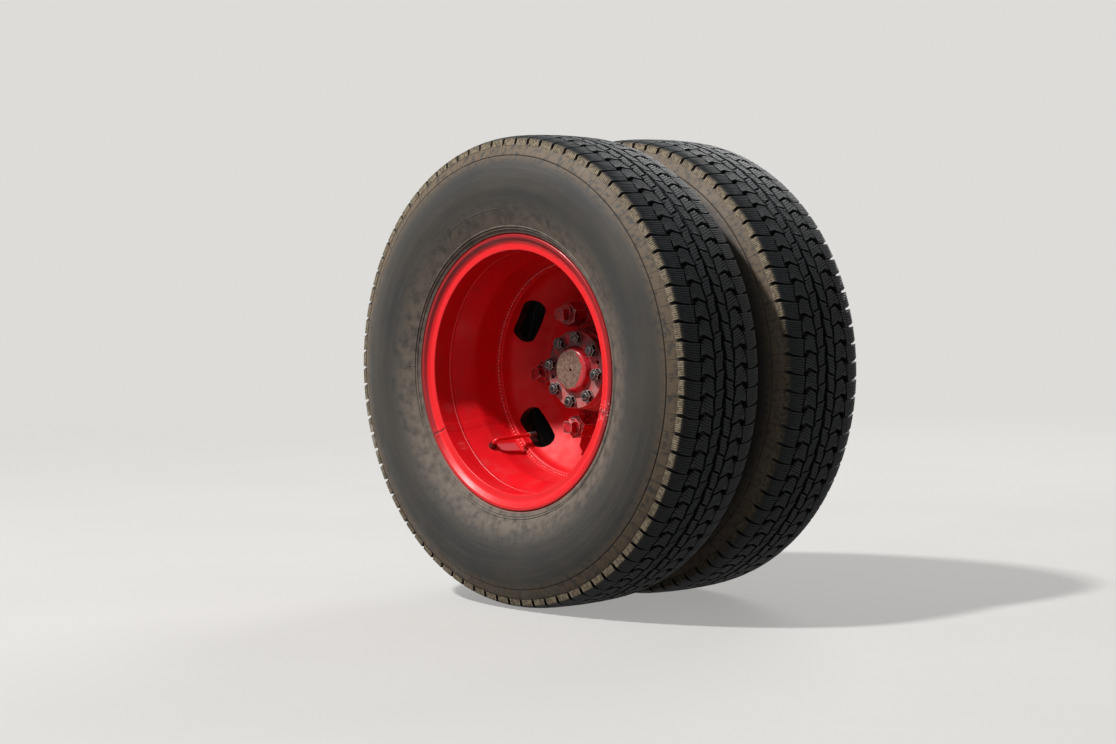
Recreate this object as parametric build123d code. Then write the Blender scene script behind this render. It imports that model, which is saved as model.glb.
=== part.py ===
"""Driven twin rear wheel end of a light fire engine: tyres, steel wheels, hub, drum, axle end.

The axle line is Y. +Y points inboard, towards the middle of the vehicle, -Y points out to the
side that is seen, +X is the way the vehicle drives and +Z is up. The origin is the centre of
the inner end of the axle tube. All sizes are in millimetres.

A distance called "out" is measured along the axle from the plane where the two wheel discs
meet: positive towards the outside, negative towards the middle of the vehicle. A section is a
list of its corners, each one as (radius, out, corner rounding).
"""
from build123d import *
import os
from math import cos, pi, radians, sin, sqrt, tan

os.makedirs("parts", exist_ok=True)

# Axle layout
tube_reach = 330.0          # from the end of the axle tube to the plane between the discs
tyre_gap = 28.0             # between the twin tyres

# Tyre, 225/80 R17.5
tyre_radius = 404.0
tyre_section = 226.0        # widest, across the sidewalls
tread_width = 176.0
crown_drop = 6.0            # tread edge below the crown
tread_rubber = 26.0         # crown to inner liner
shoulder_drop = 20.0        # lower edge of the tread shoulder, below the crown
shoulder_flare = 6.0
sidewall = 12.0
bead_width = 20.0
groove_width = 9.0
groove_depth = 11.0
groove_spacing = 50.0
groove_count = 3

# Rim, 17.5 x 6.00 with 15 degree bead seats
seat_radius = 222.25        # nominal, where the seat meets the flange
flange_height = 12.75       # lip above the nominal seat
rim_width = 152.4           # between the flange walls
lip_reach = 12.5            # flange wall to the front of the lip
lip_thickness = 6.5
rim_wall = 6.0
mouth_depth = 14.75         # nominal seat to the inner edge of the flat ring that faces out
well_depth = 32.25          # nominal seat to the inner surface of the drop centre
well_length = 54.0          # level part of the drop centre beyond the disc
seat_taper = 15.0
far_seat = 27.0             # seat widths, away from the disc and beside it
near_seat = 20.0
seat_end = 2.0              # last of the seat beside the disc, on the inside of the rim

# Wheel disc
disc_thickness = 11.0
disc_flat_margin = 23.0     # flat seat outside the circle of the studs
disc_flange_thickness = 9.0
disc_flange_overlap = 3.2   # of the disc's flange on the level part of the drop centre
disc_flange_length = 20.0
disc_bore = 75.0
disc_flat_bend = 20.0       # bend radii on the hollow side of the disc
disc_knee_bend = 16.0
weld_leg = 3.5
hand_hole_count = 5
hand_hole_depth = 27.0      # from the flange's outer face in to the hole centres
hand_hole_length = 88.0     # round the circle, at the inner side
hand_hole_narrow = 76.0     # and at the outer side
hand_hole_width = 32.0
hand_hole_angle = 6.0       # first hole, from +X towards +Z

# Wheel studs, each with an inner sleeve nut and an outer nut
stud_count = 5
stud_land = 29.0            # from the disc's bore out to the circle of the studs
stud_radius = 10.0
stud_head_radius = 14.5
stud_head_thickness = 9.0
stud_end = 42.0
stud_chamfer = 1.0
disc_hole_radius = 16.3
ball_radius = 22.0
ball_mouth = 19.5           # radius of the ball seat at the disc's face
sleeve_radius = 15.0
sleeve_end = 50.0
sleeve_square = 20.5
sleeve_square_end = 65.0
sleeve_floor = 46.0
sleeve_turns = (38.0, 45.0, 72.0, 45.0, 52.0)   # how each square came to rest when it was tightened
nut_across = 38.0
nut_turns = (8.0, 20.0, 41.0, 12.0, 27.0)
nut_collar_radius = 17.0
nut_collar_end = 15.0
nut_end = 46.0
nut_face = 0.48             # radius of a nut's flat end, against its size across the flats

# Hub
spigot_clearance = 0.4
hub_flange_margin = 15.0    # outside the circle of the studs
hub_flange_thickness = 17.0
hub_face = 52.0             # where the axle shaft's flange bolts on
hub_face_margin = 1.5       # outside the axle shaft's flange
hub_face_depth = 12.0
hub_face_taper = 18.0
hub_barrel_wall = 13.5      # outside the rear bearing
hub_end_cover = 4.0         # hub past the rear bearing
hub_core = 48.0
drum_pilot_step = 4.6       # drum pilot above the hub's barrel

# Bearings, as plain rings that the hub runs on
running_clearance = 0.05
bearing_gap = 0.5
bearing_shoulder = 4.5      # height of the hub's shoulder behind the front bearing
front_bearing_radius = 45.5
front_bearing_bore = 33.0
front_bearing = (4.0, 32.0)
rear_bearing_radius = 62.5
rear_bearing_bore = 42.5
rear_bearing = (-118.0, -86.0)

# Axle shaft
shaft_radius = 19.0
shaft_flange_thickness = 15.0
register_depth = 4.0
register_clearance = 0.2
shaft_flange_margin = 11.5  # outside the circle of the nuts
boss_radius = 41.0
boss_face_radius = 35.5
boss_height = 12.0
boss_rounding = 7.0
centre_hole = 3.0
centre_hole_depth = 9.0
shaft_tail = 50.0           # splined end past the end of the axle tube
spline_radius = 21.0
spline_depth = 2.2
spline_count = 18
spline_length = 42.0
shaft_nut_count = 8
shaft_nut_pcr = 56.5
shaft_nut_angle = 38.0
shaft_nut_across = 19.0
shaft_nut_height = 8.0
shaft_nut_turn = 11.0       # from one nut to the next
shaft_washer_radius = 10.5
shaft_washer_thickness = 2.5
shaft_stud_radius = 6.0
shaft_stud_depth = 18.0
shaft_stud_proud = 2.5
jack_hole = 4.0
jack_hole_angle = 15.0

# Spindle and axle tube
tube_radius = 57.0
plate_pilot_step = 3.0      # brake plate's pilot above the axle tube
spindle_bore = 27.0
spindle_end = 42.0
spindle_waist = 38.0
bearing_backing = 5.0       # shoulder behind the rear bearing
shoulder_gap = 5.0
spindle_nut_radius = 39.0
spindle_nut_thickness = 8.0
brake_flange_margin = 14.0  # outside the circle of the plate bolts
brake_flange_thickness = 15.0
plate_bolt_count = 8
plate_bolt_land = 21.0      # from the axle tube out to the circle of the plate bolts
plate_bolt_radius = 6.0
plate_bolt_across = 19.0
plate_bolt_head = 8.0

# Drum brake
drum_bore = 160.0
drum_wall = 15.0
drum_web = 11.0
drum_lip = 8.0
drum_lip_width = 12.0
drum_end = -190.0
drum_pilot_clearance = 0.4
drum_shoulder = 52.0        # from the drum's face to the end of its slanted shoulder
drum_seat_margin = 28.0     # drum's flat face outside the circle of the studs
drum_rib_count = 3
drum_rib_pitch = 22.0
drum_rib_height = 4.0
drum_rib_width = 6.0
plate_gap = 5.5
plate_clearance = 0.2       # of the plate's bore on its pilot
plate_thickness = 5.0
plate_dish = 8.0
plate_dish_slope = 9.0
plate_flat = 6.0            # plate left flat beside the dish, inside and outside
plate_lip = 3.0
plate_lip_depth = 9.0
cylinder_radius = 16.0
cylinder_length = 66.0
cylinder_depth = 24.0       # from the drum's bore in to the cylinders
port_radius = 9.0
port_proud = 9.0
pipe_radius = 2.4
pipe_inset = 8.0            # pipe's circle inside that of the cylinders
pipe_nut_across = 11.0
pipe_standoff = 12.0
union_radius = 5.0
union_length = 12.0
port_spacing = 22.0         # union, pipe and bleed screw side by side on a cylinder
plug_count = 4
plug_inset = 10.0           # plugs' circle inside that of the cylinders
plug_radius = 9.0
plug_rim = 2.0
plug_angle = 45.0

# Valves
valve_radius = 3.6
valve_base_radius = 7.5     # the base fills a hole through the rim beside the drop centre
valve_base = (-8.0, 2.0)
valve_nut_across = 12.0
valve_nut_height = 4.5
valve_bend = 7.0
inner_valve_height = 8.2    # the inner wheel's valve stands beside its disc
inner_valve_offset = 4.0
outer_valve_offset = 8.0    # the outer wheel's stands on the slope beyond the drop centre
outer_valve_rise = 16.5     # from the slope in to the bend of its stem
valve_cap_radius = 4.9
valve_cap_length = 16.0
valve_cap_rounding = 1.2
inner_valve_hole = 0        # hand hole that each valve ends at
outer_valve_hole = 3
inner_valve_turn = 1.0      # beside the middle of its hand hole
outer_valve_turn = 3.2

# Worked out from the sizes above
twin_plane = -tube_reach
rim_offset = (tyre_section + tyre_gap) / 2
slope = tan(radians(seat_taper))
flange_radius = seat_radius + flange_height
mouth_radius = seat_radius - mouth_depth
well_radius = seat_radius - well_depth
flange_far = rim_offset + rim_width / 2
flange_near = rim_offset - rim_width / 2
well_near = flange_near + near_seat + seat_end
disc_flange_end = flange_near + near_seat + disc_flange_overlap
disc_knee = disc_flange_end - disc_flange_length
well_far = disc_flange_end + well_length
stud_pcr = disc_bore + stud_land
stud_angle = hand_hole_angle + 180 / hand_hole_count
disc_flat_radius = stud_pcr + disc_flat_margin
hand_hole_pcr = well_radius - hand_hole_depth
hub_flange_radius = stud_pcr + hub_flange_margin
hub_barrel_radius = rear_bearing_radius + hub_barrel_wall
hub_pilot_radius = hub_barrel_radius + drum_pilot_step
hub_inner_end = rear_bearing[0] - hub_end_cover
shaft_flange_radius = shaft_nut_pcr + shaft_flange_margin
hub_face_radius = shaft_flange_radius + hub_face_margin
lip_far = flange_far + lip_reach
lip_near = flange_near - lip_reach
curl = (flange_radius + seat_radius) / 2 + 0.6
drum_radius = drum_bore + drum_wall
drum_face = -disc_thickness - hub_flange_thickness
plate_face = drum_end - plate_gap
plate_back = plate_face - plate_thickness
ball_height = sqrt(ball_radius ** 2 - ball_mouth ** 2)
ball_depth = sqrt(ball_radius ** 2 - disc_hole_radius ** 2) - ball_height
shaft_face = hub_face + shaft_flange_thickness
spigot_radius = disc_bore - spigot_clearance
plate_bolt_pcr = tube_radius + plate_bolt_land
plate_pilot_radius = tube_radius + plate_pilot_step
brake_flange_radius = plate_bolt_pcr + brake_flange_margin
cylinder_pcr = drum_bore - cylinder_depth
pipe_pcr = cylinder_pcr - pipe_inset
plug_pcr = cylinder_pcr - plug_inset
barrel_end = flange_far - far_seat - rim_wall
barrel_slope = (mouth_radius - 1.0 - well_radius) / (barrel_end - well_far)
inner_valve_out = well_near - inner_valve_offset
outer_valve_out = well_far + outer_valve_offset
outer_valve_height = outer_valve_offset * barrel_slope
inner_valve_angle = hand_hole_angle + inner_valve_hole * 360 / hand_hole_count + inner_valve_turn
outer_valve_angle = hand_hole_angle + outer_valve_hole * 360 / hand_hole_count + outer_valve_turn
port_end = plate_back - plate_dish - port_proud
cylinder_middle = plate_face - plate_dish + cylinder_radius
ports = ((-port_spacing, 1), (0.0, 1), (port_spacing, 1), (0.0, -1), (port_spacing, -1))


def along(out):
    """Y of the plane that lies this far out from the plane between the discs."""
    return twin_plane - out


def outline(corners):
    """Closed flat face from (x, y, rounding) corners; a rounding stops short of its neighbours."""
    ends = []
    for number, (x, y, rounding) in enumerate(corners):
        here = Vector(x, y)
        back = Vector(*corners[number - 1][:2]) - here
        ahead = Vector(*corners[(number + 1) % len(corners)][:2]) - here
        half = radians(back.get_angle(ahead)) / 2
        room = 0.49 * min(back.length, ahead.length)
        reach = min(rounding / tan(half), room)
        bisector = (back.normalized() + ahead.normalized()).normalized()
        crest = here + bisector * reach * (1 / cos(half) - tan(half)) if reach else here
        ends.append((here + back.normalized() * reach, crest, here + ahead.normalized() * reach))
    edges = []
    for number, (start, crest, end) in enumerate(ends):
        if (end - start).length > 1e-4:
            edges.append(ThreePointArc(start, crest, end))
        following = ends[(number + 1) % len(ends)][0]
        if (following - end).length > 1e-4:
            edges.append(Line(end, following))
    return make_face(edges)


def turned(rows, side=1):
    """Solid turned about the axle; side -1 makes its mirror image on the inner wheel."""
    section = outline([(radius, along(side * out), rounding) for radius, out, rounding in rows])
    return revolve(section, Axis.Y, 360)


def bar(radius, start, end, x=0.0, z=0.0):
    """Round bar parallel to the axle."""
    middle = (along(start) + along(end)) / 2
    return Pos(x, middle, z) * Rot(90, 0, 0) * Cylinder(radius, abs(end - start))


def prism(across, sides, start, end, turn=0.0):
    """Bar on the axle line with a regular section, sized across its flats."""
    first = min(along(start), along(end))
    plane = Plane(origin=(0, first, 0), z_dir=(0, 1, 0),
                  x_dir=(cos(radians(turn)), 0, sin(radians(turn))))
    return extrude(plane * RegularPolygon(across / 2, sides, major_radius=False), abs(end - start))


def hexagon(across, start, end, turn=0.0):
    """Hexagon bar on the axle line, its corners turned down to a cone at the outer end."""
    corner = across / 2 / cos(pi / 6)
    face = across * nut_face
    cone = turned([(0, start, 0), (corner, start, 0), (corner, end - (corner - face) * tan(pi / 6), 0),
                   (face, end, 0), (0, end, 0)])
    return prism(across, 6, start, end, turn) & cone


def stud(radius, start, end):
    """Round bar on the axle line with a chamfered outer end."""
    return turned([(0, start, 0), (radius, start, 0), (radius, end - stud_chamfer, 0),
                   (radius - stud_chamfer, end, 0), (0, end, 0)])


def places(count, radius, first_angle):
    """(x, z, angle) of evenly spaced places round the axle."""
    for number in range(count):
        angle = first_angle + number * 360 / count
        yield radius * cos(radians(angle)), radius * sin(radians(angle)), angle


def row_of(pieces, radius, first_angle):
    """Pieces that lie on the axle line, each moved out to its own place round it."""
    return [Pos(x, 0, z) * piece
            for piece, (x, z, angle) in zip(pieces, places(len(pieces), radius, first_angle))]


def copies(shape, count, radius, first_angle):
    """Copies of a shape that lies on the axle line, moved out to places round it."""
    return row_of([shape] * count, radius, first_angle)


def save(node, *solids):
    shape = solids[0] if len(solids) == 1 else Compound(children=list(solids))
    export_step(shape, "parts/" + node + ".step")


# Tyre: one half of the section from the crown to the bead, then its mirror image
def tyre(side):
    half = tread_width / 2
    bulge = tyre_section / 2
    wall = rim_width / 2
    toe = seat_radius - bead_width * slope
    height = tyre_radius - seat_radius
    outer = [  # radius, distance from the middle of the tyre, corner
        (tyre_radius, half * 0.41, 90.0),
        (tyre_radius - crown_drop, half, 4.0),
        (tyre_radius - shoulder_drop, half + shoulder_flare, 5.0),
        (seat_radius + 0.71 * height, bulge - 5.0, 30.0),
        (seat_radius + 0.52 * height, bulge + 0.6, 60.0),
        (seat_radius + 0.32 * height, bulge - 4.0, 40.0),
        (seat_radius + 0.14 * height, wall + 16.0, 12.0),
        (flange_radius + 1.5, wall + lip_reach - lip_thickness + 1.4, 2.0),
        (curl, wall, 6.0),
        (seat_radius, wall, 3.5),
        (toe, wall - bead_width, 2.0),
    ]
    liner = [
        (toe - 1.0, wall - bead_width - 1.0, 0.0),
        (toe + 14.0, wall - bead_width - 1.0, 10.0),
        (seat_radius + 0.22 * height, wall + 8.0, 20.0),
        (seat_radius + 0.52 * height, bulge - sidewall + 0.6, 60.0),
        (seat_radius + 0.77 * height, bulge - 21.0, 25.0),
        (tyre_radius - tread_rubber, half - tread_rubber, 30.0),
    ]
    rings = []
    for half_rows in (outer, liner):
        rows = [(radius, rim_offset + distance, corner) for radius, distance, corner in half_rows]
        rows += [(radius, rim_offset - distance, corner)
                 for radius, distance, corner in half_rows[::-1]]
        rings.append(turned(rows, side))
    body = rings[0] - rings[1]
    for number in range(groove_count):
        middle = rim_offset + (number - (groove_count - 1) / 2) * groove_spacing
        floor = tyre_radius - groove_depth
        body -= turned([(floor, middle - groove_width / 3, 1.5),
                        (tyre_radius + 1.0, middle - groove_width / 2, 0.0),
                        (tyre_radius + 1.0, middle + groove_width / 2, 0.0),
                        (floor, middle + groove_width / 3, 1.5)], side)
    return body


def rim(side):
    rows = [
        (flange_radius, lip_far, 2.5),
        (flange_radius, lip_far - lip_thickness, 2.5),
        (curl, flange_far, 6.0),
        (seat_radius, flange_far, 3.5),
        (seat_radius - far_seat * slope, flange_far - far_seat, 8.0),
        (well_radius + rim_wall, well_far + rim_wall, 20.0),
        (well_radius + rim_wall, flange_near + near_seat + 8.0, 5.0),
        (seat_radius - near_seat * slope, flange_near + near_seat, 5.0),
        (seat_radius, flange_near, 3.5),
        (curl, flange_near, 6.0),
        (flange_radius, lip_near + lip_thickness, 2.5),
        (flange_radius, lip_near, 2.5),
        (flange_radius - 6.0, lip_near, 2.0),
        (seat_radius - 3.0, flange_near - rim_wall, 7.0),
        (mouth_radius, flange_near - rim_wall, 1.5),
        (mouth_radius - 1.0, flange_near + near_seat - rim_wall, 5.0),
        (well_radius, well_near, 3.0),
        (well_radius, well_far, 25.0),
        (mouth_radius - 1.0, barrel_end, 8.0),
        (mouth_radius, flange_far + rim_wall, 1.5),
        (seat_radius - 3.0, flange_far + rim_wall, 7.0),
        (flange_radius - 6.0, lip_far, 2.0),
    ]
    return turned(rows, side)


def disc(side):
    flange_inner = well_radius - disc_flange_thickness
    rows = [
        (disc_bore, 0.0, 1.0),
        (disc_flat_radius + 3.0, 0.0, disc_flat_bend + disc_thickness),
        (well_radius, disc_knee - 7.0, disc_knee_bend + disc_flange_thickness),
        (well_radius, disc_flange_end + weld_leg, 0.0),
        (flange_inner, disc_flange_end - weld_leg, 1.5),
        (flange_inner, disc_knee, disc_knee_bend),
        (disc_flat_radius, disc_thickness, disc_flat_bend),
        (disc_bore, disc_thickness, 1.5),
    ]
    plate = turned(rows, side)
    low, high = -hand_hole_width / 2, hand_hole_width / 2
    hole = outline([(high, -hand_hole_narrow / 2, hand_hole_width),
                    (low, -hand_hole_length / 2, hand_hole_width),
                    (low, hand_hole_length / 2, hand_hole_width),
                    (high, hand_hole_narrow / 2, hand_hole_width)])
    for x, z, angle in places(hand_hole_count, hand_hole_pcr, hand_hole_angle):
        plane = Plane(origin=(x, twin_plane, z), z_dir=(0, -side, 0),
                      x_dir=(cos(radians(angle)), 0, sin(radians(angle))))
        plate -= extrude(plane * hole, disc_flange_end)
    stud_hole = bar(disc_hole_radius, -1.0, side * disc_thickness + side)
    for face, way in ((0.0, -side), (side * disc_thickness, side)):
        stud_hole += Pos(0, along(face + way * ball_height), 0) * Sphere(ball_radius)
    for hole in copies(stud_hole, stud_count, stud_pcr, stud_angle):
        plate -= hole
    return plate


def ball_collar(face):
    """Foot of a nut that sits in a disc's ball seat, with its widest end at the disc's face."""
    ball = Pos(0, along(face + ball_height), 0) * Sphere(ball_radius)
    return ball & bar(ball_radius, face - ball_depth, face)


def sleeve_nut(turn):
    nut = bar(sleeve_radius, -ball_depth, sleeve_end) + ball_collar(0.0)
    nut += prism(sleeve_square, 4, sleeve_end, sleeve_square_end, turn)
    chamfer = turned([(0, -ball_depth, 0), (ball_radius, -ball_depth, 0), (ball_radius, sleeve_end, 0),
                      (sleeve_square * 0.7, sleeve_end, 0),
                      (sleeve_square * 0.7, sleeve_square_end - 3.0, 0),
                      (sleeve_square * 0.54, sleeve_square_end, 0), (0, sleeve_square_end, 0)])
    return (nut & chamfer) - bar(stud_radius, -ball_depth, sleeve_floor)


def outer_nut(turn):
    nut = hexagon(nut_across, nut_collar_end, nut_end, turn)
    nut += bar(nut_collar_radius, disc_thickness, nut_collar_end) + ball_collar(disc_thickness)
    return nut - bar(sleeve_radius, 0.0, nut_end)


def wheel_stud():
    return (stud(stud_radius, drum_face - drum_web, stud_end)
            + bar(stud_head_radius, drum_face - drum_web - stud_head_thickness, drum_face - drum_web))


def hub():
    rows = [
        (front_bearing_radius + running_clearance, hub_face, 0.0),
        (hub_face_radius, hub_face, 1.5),
        (hub_face_radius, hub_face - hub_face_depth, 6.0),
        (spigot_radius, hub_face - hub_face_depth - hub_face_taper, 3.0),
        (spigot_radius, -disc_thickness, 0.0),
        (hub_flange_radius, -disc_thickness, 1.5),
        (hub_flange_radius, drum_face, 1.5),
        (hub_pilot_radius, drum_face, 0.0),
        (hub_pilot_radius, drum_face - drum_web - 1.0, 1.5),
        (hub_barrel_radius, drum_face - drum_web - 10.0, 8.0),
        (hub_barrel_radius, hub_inner_end, 3.0),
        (rear_bearing_radius + running_clearance, hub_inner_end, 0.0),
        (rear_bearing_radius + running_clearance, rear_bearing[1] + bearing_gap, 0.0),
        (hub_core, rear_bearing[1] + bearing_gap, 0.0),
        (hub_core, front_bearing[0] - 18.0, 4.0),
        (front_bearing_radius - bearing_shoulder, front_bearing[0] - 12.0, 2.0),
        (front_bearing_radius - bearing_shoulder, front_bearing[0] - bearing_gap, 0.0),
        (front_bearing_radius + running_clearance, front_bearing[0] - bearing_gap, 0.0),
    ]
    body = turned(rows)
    for hole in copies(bar(stud_radius, drum_face - 1.0, 0.0), stud_count, stud_pcr, stud_angle):
        body -= hole
    stud_hole = bar(shaft_stud_radius, hub_face - shaft_stud_depth, hub_face + 1.0)
    for hole in copies(stud_hole, shaft_nut_count, shaft_nut_pcr, shaft_nut_angle):
        body -= hole
    return body


def brake_drum():
    pilot = hub_pilot_radius + drum_pilot_clearance
    seat = stud_pcr + drum_seat_margin
    rows = [
        (pilot, drum_face, 0.5),
        (seat, drum_face, 12.0),
        (drum_radius, drum_face - drum_shoulder, 15.0),
        (drum_radius, drum_end + drum_lip_width, 3.0),
        (drum_radius + drum_lip, drum_end + drum_lip_width, 2.0),
        (drum_radius + drum_lip, drum_end, 1.0),
        (drum_bore, drum_end, 1.0),
        (drum_bore, drum_face - drum_shoulder - rim_wall, 10.0),
        (seat - 6.0, drum_face - drum_web, 8.0),
        (pilot, drum_face - drum_web, 0.5),
    ]
    drum = turned(rows)
    for number in range(drum_rib_count):
        rib = drum_end + drum_lip_width + (number + 1) * drum_rib_pitch
        drum += turned([(drum_radius - 1.0, rib - drum_rib_width / 2, 0.0),
                        (drum_radius + drum_rib_height, rib - drum_rib_width / 2 + 1.0, 0.0),
                        (drum_radius + drum_rib_height, rib + drum_rib_width / 2 - 1.0, 0.0),
                        (drum_radius - 1.0, rib + drum_rib_width / 2, 0.0)])
    hole = bar(stud_radius, drum_face - drum_web - 1.0, drum_face + 1.0)
    for stud_hole in copies(hole, stud_count, stud_pcr, stud_angle):
        drum -= stud_hole
    return drum


def axle_shaft():
    tail_end = -tube_reach - shaft_tail
    spline_start = tail_end + spline_length
    rows = [
        (0.0, shaft_face + boss_height - centre_hole_depth, 0.0),
        (centre_hole, shaft_face + boss_height - centre_hole_depth, 0.0),
        (centre_hole, shaft_face + boss_height, 0.0),
        (boss_face_radius, shaft_face + boss_height, boss_rounding),
        (boss_radius, shaft_face, 3.0),
        (shaft_flange_radius, shaft_face, 1.5),
        (shaft_flange_radius, hub_face, 1.0),
        (front_bearing_radius - register_clearance, hub_face, 0.0),
        (front_bearing_radius - register_clearance, hub_face - register_depth, 1.0),
        (shaft_radius, hub_face - register_depth, 4.0),
        (shaft_radius, spline_start + 10.0, 0.0),
        (spline_radius, spline_start, 0.0),
        (spline_radius, tail_end + 2.0, 0.0),
        (spline_radius - 2.0, tail_end, 0.0),
        (0.0, tail_end, 0.0),
    ]
    shaft = turned(rows)
    root = spline_radius - spline_depth
    root_half = pi * root / spline_count / 2 * 0.9
    mouth_half = pi * (spline_radius + 1) / spline_count / 2 * 1.25
    tooth_gap = make_face(Polyline((root, -root_half), (spline_radius + 1, -mouth_half),
                                   (spline_radius + 1, mouth_half), (root, root_half), close=True))
    plane = Plane(origin=(0, along(spline_start), 0), x_dir=(1, 0, 0), z_dir=(0, 1, 0))
    gap = extrude(plane * tooth_gap, spline_length)
    for number in range(spline_count):
        shaft -= Rot(0, number * 360 / spline_count, 0) * gap
    for hole in copies(bar(shaft_stud_radius + 0.5, hub_face - 1.0, shaft_face + 1.0),
                       shaft_nut_count, shaft_nut_pcr, shaft_nut_angle):
        shaft -= hole
    for hole in copies(bar(jack_hole, hub_face - 1.0, shaft_face + 1.0),
                       2, shaft_nut_pcr + 1.0, jack_hole_angle):
        shaft -= hole
    return shaft


def shaft_nut(turn):
    seat = shaft_face + shaft_washer_thickness
    nut = hexagon(shaft_nut_across, seat, seat + shaft_nut_height, turn)
    return nut - bar(shaft_stud_radius, seat, seat + shaft_nut_height)


def spindle():
    flange_back = plate_back - brake_flange_thickness
    shoulder = hub_inner_end - shoulder_gap
    rows = [
        (spindle_bore, spindle_end, 1.0),
        (front_bearing_bore, spindle_end, 1.5),
        (front_bearing_bore, front_bearing[0], 0.0),
        (spindle_waist - 1.5, front_bearing[0], 1.0),
        (spindle_waist, rear_bearing[1] + 12.0, 3.0),
        (rear_bearing_bore, rear_bearing[1] + 4.0, 2.0),
        (rear_bearing_bore, rear_bearing[0], 0.0),
        (rear_bearing_bore + bearing_backing, rear_bearing[0], 0.0),
        (rear_bearing_bore + bearing_backing, shoulder, 2.0),
        (rear_bearing_bore + 2.7 * bearing_backing, shoulder - 6.0, 4.0),
        (plate_pilot_radius, plate_back + 12.0, 10.0),
        (plate_pilot_radius, plate_back, 0.0),
        (brake_flange_radius, plate_back, 1.0),
        (brake_flange_radius, flange_back, 2.0),
        (plate_pilot_radius, flange_back, 5.0),
        (tube_radius, flange_back - 22.0, 12.0),
        (tube_radius, -tube_reach, 0.0),
        (spindle_bore + 4.0, -tube_reach, 1.0),
        (spindle_bore, -tube_reach + 60.0, 0.0),
    ]
    body = turned(rows)
    hole = bar(plate_bolt_radius, plate_back + 1.0, flange_back - 1.0)
    for bolt_hole in copies(hole, plate_bolt_count, plate_bolt_pcr, 0.0):
        body -= bolt_hole
    return body


def backing_plate():
    bore = plate_pilot_radius + plate_clearance
    lip_inner = drum_radius + drum_lip + plate_gap
    inside = brake_flange_radius + plate_flat
    outside = drum_bore + plate_flat + plate_dish_slope
    bend = plate_thickness * 0.4        # set of the back's corners against those of the face
    rows = [
        (bore, plate_face, 0.0),
        (inside, plate_face, 5.0),
        (inside + plate_dish_slope, plate_face - plate_dish, 5.0),
        (outside - plate_dish_slope, plate_face - plate_dish, 5.0),
        (outside, plate_face, 5.0),
        (lip_inner, plate_face, 1.5),
        (lip_inner, plate_face + plate_lip_depth, 0.0),
        (lip_inner + plate_lip, plate_face + plate_lip_depth, 0.0),
        (lip_inner + plate_lip, plate_back, 3.0),
        (outside - bend, plate_back, 5.0),
        (outside - bend - plate_dish_slope, plate_back - plate_dish, 5.0),
        (inside + bend + plate_dish_slope, plate_back - plate_dish, 5.0),
        (inside + bend, plate_back, 5.0),
        (bore, plate_back, 0.0),
    ]
    plate = turned(rows)
    for hole in copies(bar(plate_bolt_radius, plate_back - 1.0, plate_face + 1.0),
                       plate_bolt_count, plate_bolt_pcr, 0.0):
        plate -= hole
    deep = plate_back - plate_dish - 1.0
    for x, way in ports:
        plate -= bar(port_radius, deep, plate_face, x, way * cylinder_pcr)
    for hole in copies(bar(plug_radius - plug_rim, deep, plate_face), plug_count, plug_pcr, plug_angle):
        plate -= hole
    return plate


def plate_bolt():
    back = plate_back - brake_flange_thickness
    return (bar(plate_bolt_radius, back, plate_face)
            + prism(plate_bolt_across, 6, back - plate_bolt_head, back)
            + prism(plate_bolt_across, 6, plate_face, plate_face + plate_bolt_head / 2))


def wheel_cylinder(way):
    """Lies inside the drum across the plate, with its ports standing out through the plate."""
    cylinder = Pos(0, along(cylinder_middle), way * cylinder_pcr) * Rot(0, 90, 0) * Cylinder(
        cylinder_radius, cylinder_length)
    for x, side in ports:
        if side == way:
            cylinder += bar(port_radius, port_end, cylinder_middle, x, way * cylinder_pcr)
    return cylinder


def brake_union():
    """Free union that the vehicle's brake hose screws onto."""
    union = (prism(pipe_nut_across + 3.0, 6, port_end - 6.0, port_end)
             + bar(union_radius, port_end - 6.0 - union_length, port_end - 6.0))
    return Pos(-port_spacing, 0, cylinder_pcr) * union


def brake_pipe():
    """Steel pipe that joins the two cylinders, round the back of the plate, with its nuts."""
    nut_end = port_end - 9.0
    port, level = along(nut_end), along(nut_end - pipe_standoff)
    bend = [(pipe_pcr * sin(radians(angle)), pipe_pcr * cos(radians(angle)))
            for angle in (-34, -62, -90, -118, -146)]
    points = [(0, port, cylinder_pcr), (0, level, cylinder_pcr)]
    points += [(x, level, z) for x, z in bend]
    points += [(0, level, -cylinder_pcr), (0, port, -cylinder_pcr)]
    path = FilletPolyline(*points, radius=[8.0] + [40.0] * len(bend) + [8.0])
    pipe = sweep(Plane(origin=points[0], z_dir=(0, 1, 0)) * Circle(pipe_radius), path)
    for way in (1, -1):
        pipe += Pos(0, 0, way * cylinder_pcr) * prism(pipe_nut_across, 6, nut_end, port_end)
    return pipe


def bleed_screw():
    return (prism(8.0, 6, port_end - 7.0, port_end) + bar(2.6, port_end - 16.0, port_end - 7.0)
            + bar(3.6, port_end - 16.0, port_end - 12.0))


def plug():
    face = plate_back - plate_dish
    return (bar(plug_radius, face - 3.0, face)
            + bar(plug_radius - plug_rim, face, plate_face - plate_dish))


def valve_stations(angle, stations):
    """Points in the plane of the axle and one radius, from (radius, out) of each bend."""
    across = Vector(cos(radians(angle)), 0, sin(radians(angle)))
    return [across * radius + Vector(0, along(out), 0) for radius, out in stations]


def valve_seat(angle, stations):
    """Plane where a valve stands on the rim, with Z along the start of its stem."""
    points = valve_stations(angle, stations)
    return Plane(origin=points[0], z_dir=points[1] - points[0])


def valve_foot(angle, stations):
    """Base of the valve, which is also the hole it fills in the rim."""
    low, high = valve_base
    middle = Pos(0, 0, (low + high) / 2)
    return valve_seat(angle, stations) * middle * Cylinder(valve_base_radius, high - low)


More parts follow.
